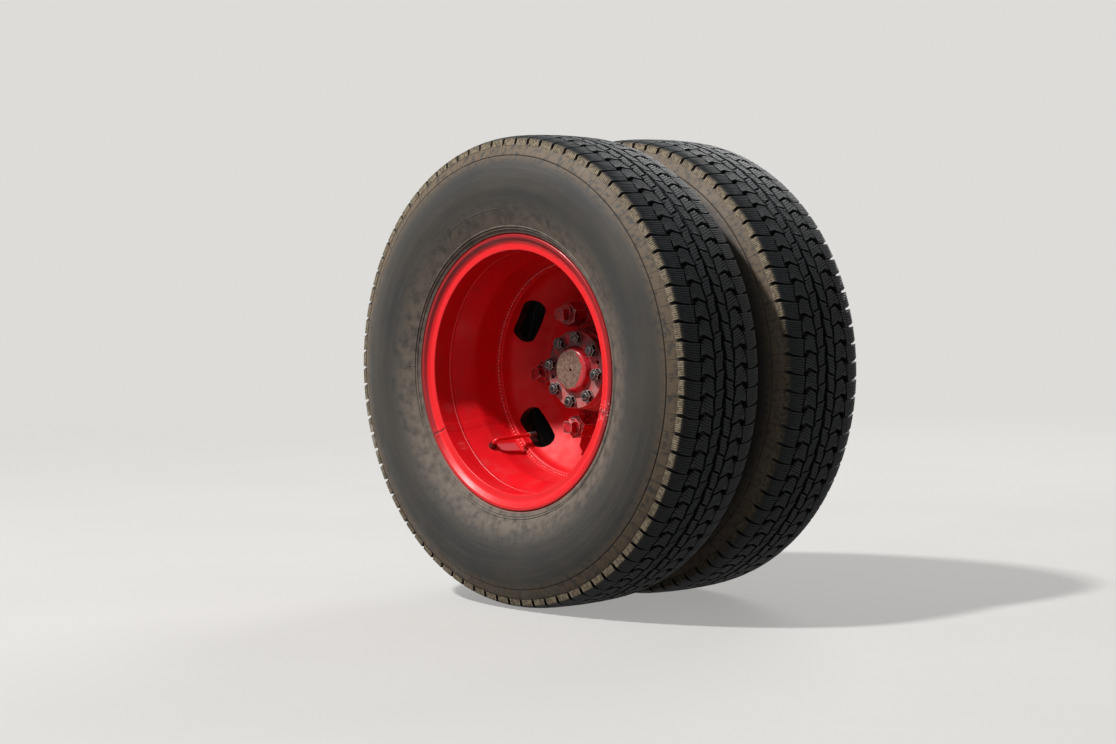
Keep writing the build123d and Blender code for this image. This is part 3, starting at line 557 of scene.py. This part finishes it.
# %% [markdown]
# The forged end of the axle shaft carries the most dirt. Its boss has a brown crust with paint left
# round its edge. The flange below it carries a dark film in patches, which is painted pale pink on its
# lower half as painted light.
# The boss is told from the flange by how far out it stands. Inside the axle the shaft is bare oiled
# steel, which only its splined end shows.

# %% Enamel of the shaft's flange and the hub
boss_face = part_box("axle_shaft")[0].y


def hub_enamel():
    material, tree = empty_material("dirty_enamel_on_forged_steel")
    where = add(tree, "TexCoord", out="Object")
    parts = add(tree, "SeparateXYZ", {"Vector": where}).node.outputs
    paint = layered(tree, "#C21824", (patches(tree, 3 * mm, 0.45, 0.6, 0.7), "#B84A50"))
    # Painted light: the film on the flange turns pale pink towards the bottom.
    painted_light_below = add(tree, "MapRange", {"Value": parts["Z"], "From Min": -5 * mm, "From Max": -38 * mm},
                interpolation_type="SMOOTHSTEP")
    filmed = patches(tree, 16 * mm, 0.28, 0.55, 0.85, seed=3.0)
    flange = layered(tree, paint, (filmed, layered(tree, "#3A1E1B", (painted_light_below, "#AD7F79"))))

    crust_middle = (-6 * mm, boss_face, 2 * mm)
    away = add(tree, "VectorMath", {0: where, 1: crust_middle}, "Value", operation="DISTANCE")
    ragged = add(tree, "TexNoise", {"Vector": where, "Scale": 1 / (9 * mm), "Detail": 5.0})
    ragged = add(tree, "Math", {0: ragged, 1: 26 * mm}, operation="MULTIPLY")
    away = add(tree, "Math", {0: away, 1: ragged}, operation="ADD")
    crust = add(tree, "MapRange", {"Value": away, "From Min": 48 * mm, "From Max": 45 * mm})
    brown = layered(tree, "#85705F", (patches(tree, 5 * mm, 0.35, 0.65, seed=5.0), "#5F4A3D"))
    boss = layered(tree, paint, (crust, brown))
    is_boss = add(tree, "MapRange", {"Value": parts["Y"], "From Min": boss_face + 10.5 * mm,
                                     "From Max": boss_face + 8.5 * mm})
    rough = add(tree, "MapRange", {"Value": crust, "To Min": 0.24, "To Max": 0.7})
    rough = add(tree, "MapRange", {"Value": is_boss, "To Min": 0.5, "To Max": rough})

    pale_edges = worn_edges(tree, 1.2 * mm, 0.86, 0.98, 0.6)
    inside = add(tree, "MapRange", {"Value": parts["Y"], "From Min": boss_face + 60 * mm,
                                    "From Max": boss_face + 90 * mm})
    steel = layered(tree, "#5C5854", (filmed, "#33302D"))
    colour = layered(tree, flange, (is_boss, boss), (pale_edges, "#C79A92"), (inside, steel))
    surface(tree, {"Base Color": colour, "Roughness": rough, "Specular IOR Level": 0.5,
                   "Metallic": add(tree, "Math", {0: inside, 1: 0.7}, operation="MULTIPLY"),
                   "Normal": grain(tree, 1.6 * mm, 0.12 * mm, grain(tree, 9 * mm, 0.3 * mm))})
    return material


forged_enamel = hub_enamel()
print(forged_enamel.name, "boss face at", round(boss_face, 4))

# %% [markdown]
# The remaining metals, and the rubber of the plugs, share one recipe: a base colour with darker
# blotches, rust or oily dirt where a noise is high, a lighter colour along edges, and a fine relief
# from casting, forging or plating. On most finishes the lighter edge is rubbed wear. On the oily nuts
# and studs it is nearly white and is a painted highlight. Scratches scatter light, so a lighter edge
# counts as dull rather than as mirror. Each is named for what it is and how its surface was made.

# %% Plain metals and rubber
def weathered(name, base, blotch, dirt, edge, dirt_amount, metallic, rough, grain_size, grain_depth):
    material, tree = empty_material(name)
    cloud = patches(tree, 18 * mm, 0.35, 0.7)
    spots = patches(tree, 6 * mm, 0.46, 0.68, dirt_amount, seed=7.0, detail=7.0)
    # Pale edges: rubbed wear, and on the oily nuts and studs a painted highlight.
    pale_edges = worn_edges(tree, 1.2 * mm, 0.86, 0.98, 0.95)
    colour = layered(tree, base, (cloud, blotch), (spots, dirt), (pale_edges, edge))
    dull = add(tree, "Math", {0: spots, 1: pale_edges}, operation="MAXIMUM")
    clean = add(tree, "Math", {0: 1.0, 1: dull}, operation="SUBTRACT")
    shine = add(tree, "Math", {0: clean, 1: metallic}, operation="MULTIPLY")
    rough = add(tree, "MapRange", {"Value": cloud, "To Min": rough, "To Max": rough + 0.14})
    surface(tree, {"Base Color": colour, "Metallic": shine, "Roughness": rough,
                   "Normal": grain(tree, grain_size * mm, grain_depth * mm)})
    return material


# base, blotch, dirt, pale edge (a painted highlight on the oily nuts and studs), amount of dirt,
# metallic, roughness, size and depth of grain in mm
finishes = {
    # The near-white edges of the next two finishes are painted highlights.
    "oily_nut_steel": ("#211E1D", "#100E0D", "#1A100E", "#FAF6F0", 0.6, 0.5, 0.2, 1.2, 0.04),
    "oily_stud_steel": ("#3A3735", "#1E1B1A", "#1A100E", "#F4EEE6", 0.6, 0.6, 0.25, 1.0, 0.04),
    "forged_steel": ("#4A4744", "#35322F", "#54402F", "#8B8783", 0.7, 0.5, 0.5, 2, 0.15),
    "cast_iron_light_rust": ("#4B4540", "#5B4A3C", "#6E4A30", "#857C74", 0.9, 0.3, 0.6, 1.5, 0.2),
    "satin_chassis_paint": ("#1B1C1D", "#232424", "#4A4138", "#4E4B48", 0.55, 0.0, 0.42, 4, 0.06),
    "zinc_plated_steel": ("#A9A490", "#8B8674", "#6A5A42", "#D3CFC2", 0.5, 0.8, 0.34, 1, 0.02),
    "ground_bearing_steel": ("#9A9A9C", "#838386", "#6B6258", "#C4C4C6", 0.1, 0.95, 0.22, 0.6, 0.01),
    "soft_black_rubber": ("#1C1C1C", "#2A2928", "#4A433B", "#3A3937", 0.5, 0.0, 0.6, 1, 0.05),
    "nickel_plated_brass": ("#7E7A73", "#5E5A54", "#3E342C", "#C2BDB2", 0.6, 0.85, 0.34, 0.8, 0.03),
}
made = {name: weathered(name, *row) for name, row in finishes.items()}
print(len(bpy.data.materials), "materials")

# %% [markdown]
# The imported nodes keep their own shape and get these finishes. The valve stems were painted with
# the wheel, and only their caps stayed bare.

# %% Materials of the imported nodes
node_materials = {
    rim_enamel: ["outer_rim"],
    stem_enamel: ["outer_valve"],
    disc_enamel: ["outer_disc"],
    sooty_and_shaded_enamel: ["inner_rim", "inner_disc", "inner_valve"],
    wheel_nut_enamel: ["inner_wheel_nuts", "outer_wheel_nuts"],
    forged_enamel: ["axle_shaft", "hub"],
    rubber_side: ["outer_tyre", "inner_tyre"],
    made["oily_nut_steel"]: ["axle_shaft_nuts", "axle_shaft_washers"],
    made["oily_stud_steel"]: ["axle_shaft_studs"],
    made["forged_steel"]: ["wheel_studs"],
    made["cast_iron_light_rust"]: ["brake_drum", "wheel_cylinders"],
    made["satin_chassis_paint"]: ["spindle", "backing_plate"],
    made["zinc_plated_steel"]: ["spindle_nut", "plate_bolts", "brake_pipe", "brake_union",
                                "bleed_screws"],
    made["ground_bearing_steel"]: ["front_bearing", "rear_bearing"],
    made["soft_black_rubber"]: ["plate_plugs"],
    made["nickel_plated_brass"]: ["outer_valve_cap", "inner_valve_cap"],
}
for material, names in node_materials.items():
    for name in names:
        nodes[name].data.materials.clear()
        nodes[name].data.materials.append(material)
print(sum(len(names) for names in node_materials.values()), "of", len(nodes), "nodes have a finish")

# %% [markdown]
# Round pieces are made as on a lathe. The outline of one side is drawn as a chain of points by
# extruding a single vertex, its corners are rounded with the bevel tool, and the chain is spun once
# round the axle. These helpers start a piece, select by place, and finish a piece.

# %% Helpers for modelling
def begin():
    """Leaves edit mode and deselects everything."""
    if bpy.context.object and bpy.context.object.mode != "OBJECT":
        bpy.ops.object.mode_set(mode="OBJECT")
    bpy.ops.object.select_all(action="DESELECT")


def pick(test, kind="verts"):
    """In edit mode, selects only the vertices, edges or faces that pass the test."""
    bpy.ops.mesh.select_mode(type={"verts": "VERT", "edges": "EDGE", "faces": "FACE"}[kind])
    bpy.ops.mesh.select_all(action="DESELECT")
    mesh = bmesh.from_edit_mesh(bpy.context.object.data)
    chosen = [element for element in getattr(mesh, kind) if test(element)]
    for element in chosen:
        element.select_set(True)
    mesh.select_flush_mode()
    bmesh.update_edit_mesh(bpy.context.object.data)
    return len(chosen)


def complete(name, material, angle=35.0):
    """Leaves edit mode, names the piece, and shades it smooth up to an edge angle."""
    bpy.ops.object.mode_set(mode="OBJECT")
    piece = bpy.context.object
    piece.name = piece.data.name = name
    bpy.ops.object.transform_apply(location=True, rotation=True, scale=True)
    piece.data.materials.clear()
    piece.data.materials.append(material)
    bpy.ops.object.shade_smooth_by_angle(angle=radians(angle))
    return piece


print("modelling helpers ready")

# %% [markdown]
# A lathe needs an outline. Each corner is given by its radius, its place along the axle and the
# size of its rounding. The bevel tool rounds a corner in a few short steps, which smooth shading
# turns into a curve.

# %% Lathe
same_place = 1e-6


def chain(corners):
    """Closed chain of edges in the plane X = 0 through (radius, y, rounding) corners, in edit mode."""
    begin()
    points = [Vector((0, y, radius)) for radius, y, rounding in corners]
    bpy.ops.mesh.primitive_plane_add(size=mm, location=points[0])
    bpy.ops.object.transform_apply(location=True, rotation=True, scale=True)
    bpy.ops.object.mode_set(mode="EDIT")
    bpy.ops.mesh.select_all(action="SELECT")
    bpy.ops.mesh.merge(type="CENTER")
    for start, end in zip(points, points[1:]):
        bpy.ops.mesh.extrude_region_move(TRANSFORM_OT_translate={"value": end - start})
    pick(lambda v: min((v.co - points[0]).length, (v.co - points[-1]).length) < same_place)
    bpy.ops.mesh.edge_face_add()
    for point, (radius, y, rounding) in zip(points, corners):
        if rounding and pick(lambda v: (v.co - point).length < same_place):
            bpy.ops.mesh.bevel(affect="VERTICES", offset=rounding, offset_type="OFFSET", segments=4)
    bpy.ops.mesh.select_all(action="SELECT")


def spin(steps):
    """Spins the chain once round the axle and turns its faces outwards."""
    bpy.ops.mesh.spin(steps=steps, angle=2 * pi, center=(0, 0, 0), axis=(0, 1, 0))
    bpy.ops.mesh.select_all(action="SELECT")
    bpy.ops.mesh.remove_doubles(threshold=same_place)
    bpy.ops.mesh.normals_make_consistent(inside=False)


print("lathe ready")

# %% [markdown]
# The body of the tyre is one spun outline: the groove floor under the tread, the step of the
# shoulder, the long curve of the sidewall with its fine moulded rings, the seat on the rim and the
# liner. The rings are real steps of about a millimetre, because they catch the light. One side is
# written down and mirrored.

# %% Tyre body
steps_per_pitch = 3


def tyre_outline():
    """Corners of the whole section in metres. The lists give radius, way out and rounding in mm."""
    outside = [
        (393.0, 12, 0), (391.5, 52, 6), (389.0, 83, 3), (386.5, 88.2, 1.5), (382.5, 91.3, 1),
        (374.0, 95.8, 3), (368.0, 98.9, 0.2), (367.2, 98.0, 0.2), (366.4, 99.8, 0.2), (352, 106.3, 12),
        (334, 111.2, 12), (316, 112.9, 14), (298, 111.3, 12), (281, 107.2, 9), (266, 101.2, 6),
        (254, 95.8, 3), (248.9, 93.3, 0.3), (248.2, 94.2, 0.3), (247.0, 93.7, 0.3),
        (246.6, 92.2, 0.3), (244.9, 91.4, 0.3), (244.3, 92.2, 0.3), (243.1, 91.7, 0.3),
        (242.7, 90.2, 0.3), (239.6, 89.0, 1), (236.8, 87.8, 0.8), (236.0, 84.0, 0.5),
        (230.0, 76.8, 3), (222.4, 76.2, 2), (217.2, 56.4, 1),
    ]
    liner = [(231, 55.4, 4), (262, 84, 12), (316, 101, 20), (360, 92, 14), (378, 62, 14)]
    half = outside + liner
    ring = [(r * mm, tyre_middle + d * mm, c * mm) for r, d, c in half]
    ring += [(r * mm, tyre_middle - d * mm, c * mm) for r, d, c in half[::-1]]
    return ring


chain(tyre_outline())
spin(tread_pitches * steps_per_pitch)
outer_body = complete("outer_tyre_body", rubber_side, angle=40)
print(outer_body.name, len(outer_body.data.polygons), "faces")

# %% [markdown]
# A winter tread is made of blocks that are cut into thin upright slices, with fine cuts called
# sipes between them. Relief in a material wouldn't notch the outline of a block, so the slices are
# modelled. A block starts as one slice at the top of the tyre, where up is +Z and the way round is
# +X. The slice has four or five stations along it and is lowered to the crown's curve.

# %% One slice of a block
pitch = 2 * pi * tyre_radius / tread_pitches
tread_half = 88 * mm
worn_off = 0.5 * mm
crown_drop = 4 * mm
edge_drop = 4 * mm
sipe = 0.8 * mm
chamfer = 0.35 * mm


def crown(distance):
    """Radius of the tread's surface at this distance from the tyre's middle."""
    share = abs(distance) / tread_half
    return tyre_radius - worn_off - crown_drop * share ** 2 - edge_drop * share ** 10


def slice_at(inner, outer, floor, width, flare, stations):
    """One slice from the inner to the outer distance, left in edit mode, and its stations' places."""
    begin()
    middle = (tyre_radius + floor) / 2
    places = [inner + (outer - inner) * number / (stations - 1) for number in range(stations)]
    bpy.ops.mesh.primitive_cube_add(size=1, enter_editmode=True)
    bpy.ops.transform.resize(value=(width - sipe, abs(outer - inner), tyre_radius - floor),
                             center_override=(0, 0, 0))
    bpy.ops.transform.translate(value=(0, (inner + outer) / 2, middle))
    pick(lambda f: f.normal.z > 0.8, "faces")
    bpy.ops.mesh.bevel(offset=chamfer, offset_type="OFFSET", segments=1, affect="EDGES")
    pick(lambda e: abs(e.verts[0].co.y - e.verts[1].co.y) > 10 * mm, "edges")
    bpy.ops.mesh.subdivide(number_cuts=stations - 2)
    for place in places:
        pick(lambda v: v.co.z > middle and abs(v.co.y - place) < mm)
        bpy.ops.transform.translate(value=(0, 0, crown(place) - tyre_radius))
    pick(lambda v: v.co.z < middle and abs(v.co.y - outer) < mm)
    bpy.ops.transform.translate(value=(0, flare if outer > inner else -flare, 0))
    return places


print("pitch", round(pitch / mm, 2), "mm")

# %% [markdown]
# An array modifier repeats the slice into a block. The block's ends are then slanted in a zigzag,
# and may lose a corner to a notch that is deepest in the first slice. Last, its stations are
# narrowed and leaned, so that the gap to the next block becomes the drop-shaped groove of the real
# tyre.

# %% One block
notch_fade = 0.45


def turn_round(distance):
    """In edit mode, moves what is selected round the axle by a distance measured on the tread."""
    bpy.ops.transform.rotate(value=distance / tyre_radius, orient_axis="Y", center_override=(0, 0, 0))


def tread_block(name, inner, outer, floor, slices, length, shift, slants, notch, flare, shape):
    side = 1 if outer > inner else -1
    width = length / slices
    places = slice_at(inner, outer, floor, width, flare, len(shape))
    bpy.ops.object.mode_set(mode="OBJECT")
    block = bpy.context.object
    block.name = name
    repeat = block.modifiers.new("slices", "ARRAY")
    repeat.count = slices
    repeat.use_relative_offset = False
    repeat.use_constant_offset = True
    repeat.constant_offset_displace = (width, 0, 0)
    bpy.ops.object.modifier_apply(modifier="slices")
    bpy.ops.object.mode_set(mode="EDIT")
    bpy.ops.mesh.select_all(action="SELECT")
    bpy.ops.transform.translate(value=((width - length) / 2, 0, 0))
    for number in range(slices):
        low = number * width - length / 2
        share = number / (slices - 1)
        for end, slant in zip((inner, outer), slants):
            cut = notch * max(0.0, 1 - notch_fade * number) if end == outer else 0.0
            near = 2 * mm + flare
            pick(lambda v: low < v.co.x < low + width and abs(v.co.y - end) < near)
            bpy.ops.transform.translate(value=(0, side * (slant * share - cut), 0))
    reach = abs(outer - inner) / (len(shape) - 1) / 2
    for place, (wide, lean) in zip(places, shape):
        if pick(lambda v: abs(v.co.y - place) < reach):
            bpy.ops.transform.resize(value=(wide, 1, 1), center_override=(0, 0, 0))
            turn_round(lean * mm)
    bpy.ops.mesh.select_all(action="SELECT")
    turn_round(shift)
    bpy.ops.mesh.normals_make_consistent(inside=False)
    bpy.ops.object.mode_set(mode="OBJECT")
    return block


print("a notch gets shallower by", notch_fade, "of its depth with each slice")

# %% [markdown]
# The rows of blocks are written down as a table. The shoulder row narrows most towards the side of
# the tyre. The two rows inside it have a notch each, which gives the rows of dark V shapes. On the
# other side of the tyre the rows are mirrored and stand half a pitch further on.

# %% One pitch of the tread
# name, inner, outer, floor, slices, length, shift, slants, notch, flare, (width, lean) of each station
rows = [
    ("shoulder", 54, 88, 384.5, 7, 29.2, 0.0, (4.0, 0.0), 0.0, 2.7,
     ((1.0, 0.0), (0.985, 0.6), (0.97, 1.6), (0.93, 3.4), (0.84, 6.5))),
    ("second", 27, 49, 390, 5, 27.5, 8.0, (-3.0, 4.0), 6.0, 0.0,
     ((1.0, -5.0), (0.97, -1.5), (0.9, 1.5), (0.77, 5.0))),
    ("centre", 3, 23, 391, 5, 27.5, 15.0, (3.0, -3.0), 4.0, 0.0,
     ((1.0, 4.0), (1.0, 1.0), (1.0, -1.0), (1.0, -4.0))),
]
blocks = []
for side, turn in ((-1, 0.0), (1, 0.5)):
    for name, inner, outer, floor, slices, length, shift, slants, notch, flare, shape in rows:
        blocks.append(tread_block(f"{name}_{side}", side * inner * mm, side * outer * mm, floor * mm,
                                  slices, length * mm, shift * mm + turn * pitch,
                                  [slant * mm for slant in slants], notch * mm, flare * mm, shape))
print(len(blocks), "blocks in one pitch")

# %% [markdown]
# The pitch is repeated round the wheel by an array modifier that turns each copy a little further
# than the last one. It reads the turn from an empty object, which is removed afterwards. The same
# helper is used again for the drops of a weld bead.

# %% The whole tread
def repeat_round(piece, count):
    """Repeats a piece round the axle by an array modifier and applies it."""
    begin()
    bpy.ops.object.empty_add(location=(0, 0, 0))
    turner = bpy.context.object
    turner.rotation_euler = (0, 2 * pi / count, 0)
    begin()
    piece.select_set(True)
    bpy.context.view_layer.objects.active = piece
    bpy.context.view_layer.update()
    around = piece.modifiers.new("around", "ARRAY")
    around.count = count
    around.use_relative_offset = False
    around.use_object_offset = True
    around.offset_object = turner
    bpy.ops.object.modifier_apply(modifier="around")
    bpy.data.objects.remove(turner)


begin()
for block in blocks:
    block.select_set(True)
bpy.context.view_layer.objects.active = blocks[0]
bpy.ops.object.join()
tread = bpy.context.object
tread.data.transform(Matrix.Translation((0, tyre_middle, 0)))
repeat_round(tread, tread_pitches)
outer_tread = complete("outer_tyre_tread", rubber_tread, angle=30)
print(outer_tread.name, sum(len(f.vertices) - 2 for f in outer_tread.data.polygons), "triangles")

# %% [markdown]
# The disc's flange is joined to the rim by a weld all the way round. A weld bead is a row of frozen
# drops, each one laid over the last, so one flattened drop is modelled and repeated. No two drops
# freeze alike, so their surface is then shaken a little.

# %% Weld bead between disc and rim
bead_radius = 187.3 * mm
bead_out = 74.0 * mm
drop_count = 190
drop_radius = 3.8 * mm
drop_stretch = 1.2
drop_shake = 0.35 * mm

begin()
bpy.ops.mesh.primitive_uv_sphere_add(segments=10, ring_count=8, radius=drop_radius, enter_editmode=True)
bpy.ops.transform.resize(value=(drop_stretch, 1.0, 1.0), center_override=(0, 0, 0))
bpy.ops.transform.translate(value=(0, twin_plane - bead_out, bead_radius))
bpy.ops.object.mode_set(mode="OBJECT")
repeat_round(bpy.context.object, drop_count)
bpy.ops.object.mode_set(mode="EDIT")
bpy.ops.mesh.select_all(action="SELECT")
bpy.ops.transform.vertex_random(offset=drop_shake, seed=3)
outer_bead = complete("outer_weld_bead", bead_enamel, angle=60)
print(outer_bead.name, len(outer_bead.data.polygons), "faces")

# %% [markdown]
# The inner wheel carries the same tyre, so both pieces are copied with their own meshes and moved
# along the axle. Its disc is the mirror image, so its weld bead is only moved across the plane
# between the discs.

# %% Inner tyre and weld
def copy_along(piece, name, distance):
    """A copy with its own mesh, moved along the axle."""
    other = bpy.data.objects.new(name, piece.data.copy())
    bpy.context.scene.collection.objects.link(other)
    other.data.name = name
    other.data.transform(Matrix.Translation((0, distance, 0)))
    return other


inner_body = copy_along(outer_body, "inner_tyre_body", inner_middle - tyre_middle)
inner_tread = copy_along(outer_tread, "inner_tyre_tread", inner_middle - tyre_middle)
inner_bead = copy_along(outer_bead, "inner_weld_bead", 2 * bead_out)
inner_bead.data.materials[0] = sooty_and_shaded_enamel
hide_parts("outer_tyre")
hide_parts("inner_tyre")
for piece in (outer_body, outer_tread, inner_body, inner_tread):
    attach(piece, "wheel")
for piece in (outer_bead, inner_bead):
    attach(piece, "wheel")
print("tyres and welds ride on the wheel")

# %% [markdown]
# The studio is a pale floor that fades into an equally pale surround, so there is no horizon. Far
# from the object the floor only shows its colour, and near it about half of its light is real, which
# keeps the shadow. Gloss paint and metal mirror that pale floor too. As a source of light the floor
# is as dark as a road, because light thrown up from a pale floor would wash out the deep shade in
# the bowl of the wheel.

# %% Floor
backdrop_colour = "#DEDCD9"
floor_gap = 0.5 * mm


def shows_backdrop(tree):
    """Mask of the rays that see the pale backdrop: from the camera, mirrored or through glass."""
    seen = add(tree, "LightPath", out="Is Camera Ray")
    for kind in ("Is Glossy Ray", "Is Transmission Ray"):
        seen = add(tree, "Math", {0: seen, 1: add(tree, "LightPath", out=kind)}, operation="MAXIMUM")
    return seen


def studio_floor():
    begin()
    bpy.ops.mesh.primitive_plane_add(size=60, location=(0, 0, floor_level - floor_gap))
    floor = bpy.context.object
    floor.name = "studio_floor"
    material, tree = empty_material("matt_pale_floor")
    pale = layered(tree, "#C6C4C0", (patches(tree, 500 * mm, 0.3, 0.7), "#CAC8C5"))
    seen = shows_backdrop(tree)
    colour = layered(tree, "#2A2928", (seen, pale))
    lit = add(tree, "BsdfPrincipled", {"Base Color": colour, "Roughness": 0.9})
    even = add(tree, "Emission", {"Color": backdrop_colour, "Strength": 1.0})
    where = add(tree, "TexCoord", out="Object")
    away = add(tree, "VectorMath", {0: where}, "Value", operation="LENGTH")
    far = add(tree, "MapRange", {"Value": away, "From Min": 0.9, "From Max": 5.0, "To Min": 0.45,
                                 "To Max": 1.0}, interpolation_type="SMOOTHSTEP")
    amount = add(tree, "Math", {0: far, 1: seen}, operation="MULTIPLY")
    add(tree, "OutputMaterial", {"Surface": add(tree, "MixShader", {0: amount, 1: lit, 2: even})})
    floor.data.materials.append(material)
    return floor


print(studio_floor().name, "at", round(floor_level, 4))

# %% [markdown]
# In the photograph the sun stands high in front of the wheel, so the lower half of the bowl is
# bright and the upper half lies in the shade of the flange. One lamp far off gives that, large
# enough for a soft edge. A weak broad lamp in front gives the paint and the nuts their sheen,
# another behind shows the brake side, and a weak surround fills in.

# %% Light
def area_lamp(name, from_where, size, power):
    data = bpy.data.lights.new(name, "AREA")
    data.size = size
    data.energy = power
    lamp = bpy.data.objects.new(name, data)
    lamp.location = from_where
    target = Vector((0, twin_plane, 0))
    lamp.rotation_euler = (target - lamp.location).to_track_quat("-Z", "Y").to_euler()
    bpy.context.scene.collection.objects.link(lamp)
    return lamp


def surround(colour, strength):
    """Even light from all sides. The camera and mirrored rays see the backdrop's colour instead."""
    world = bpy.data.worlds.new("studio_surround")
    bpy.context.scene.world = world
    world.use_nodes = True
    world.node_tree.nodes.clear()
    tree = world.node_tree
    light = add(tree, "Background", {"Color": colour, "Strength": strength})
    backdrop = add(tree, "Background", {"Color": backdrop_colour, "Strength": 1.0})
    add(tree, "OutputWorld", {"Surface": add(tree, "MixShader",
                                             {0: shows_backdrop(tree), 1: light, 2: backdrop})})


area_lamp("key", (-1.94, -5.65, 7.0), size=0.6, power=1060)
area_lamp("back", (-2.2, 5.0, 3.2), size=3.0, power=220)
area_lamp("front", (2.1, -4.7, 1.8), size=2.5, power=14)
surround("#DDE6F2", strength=0.1)
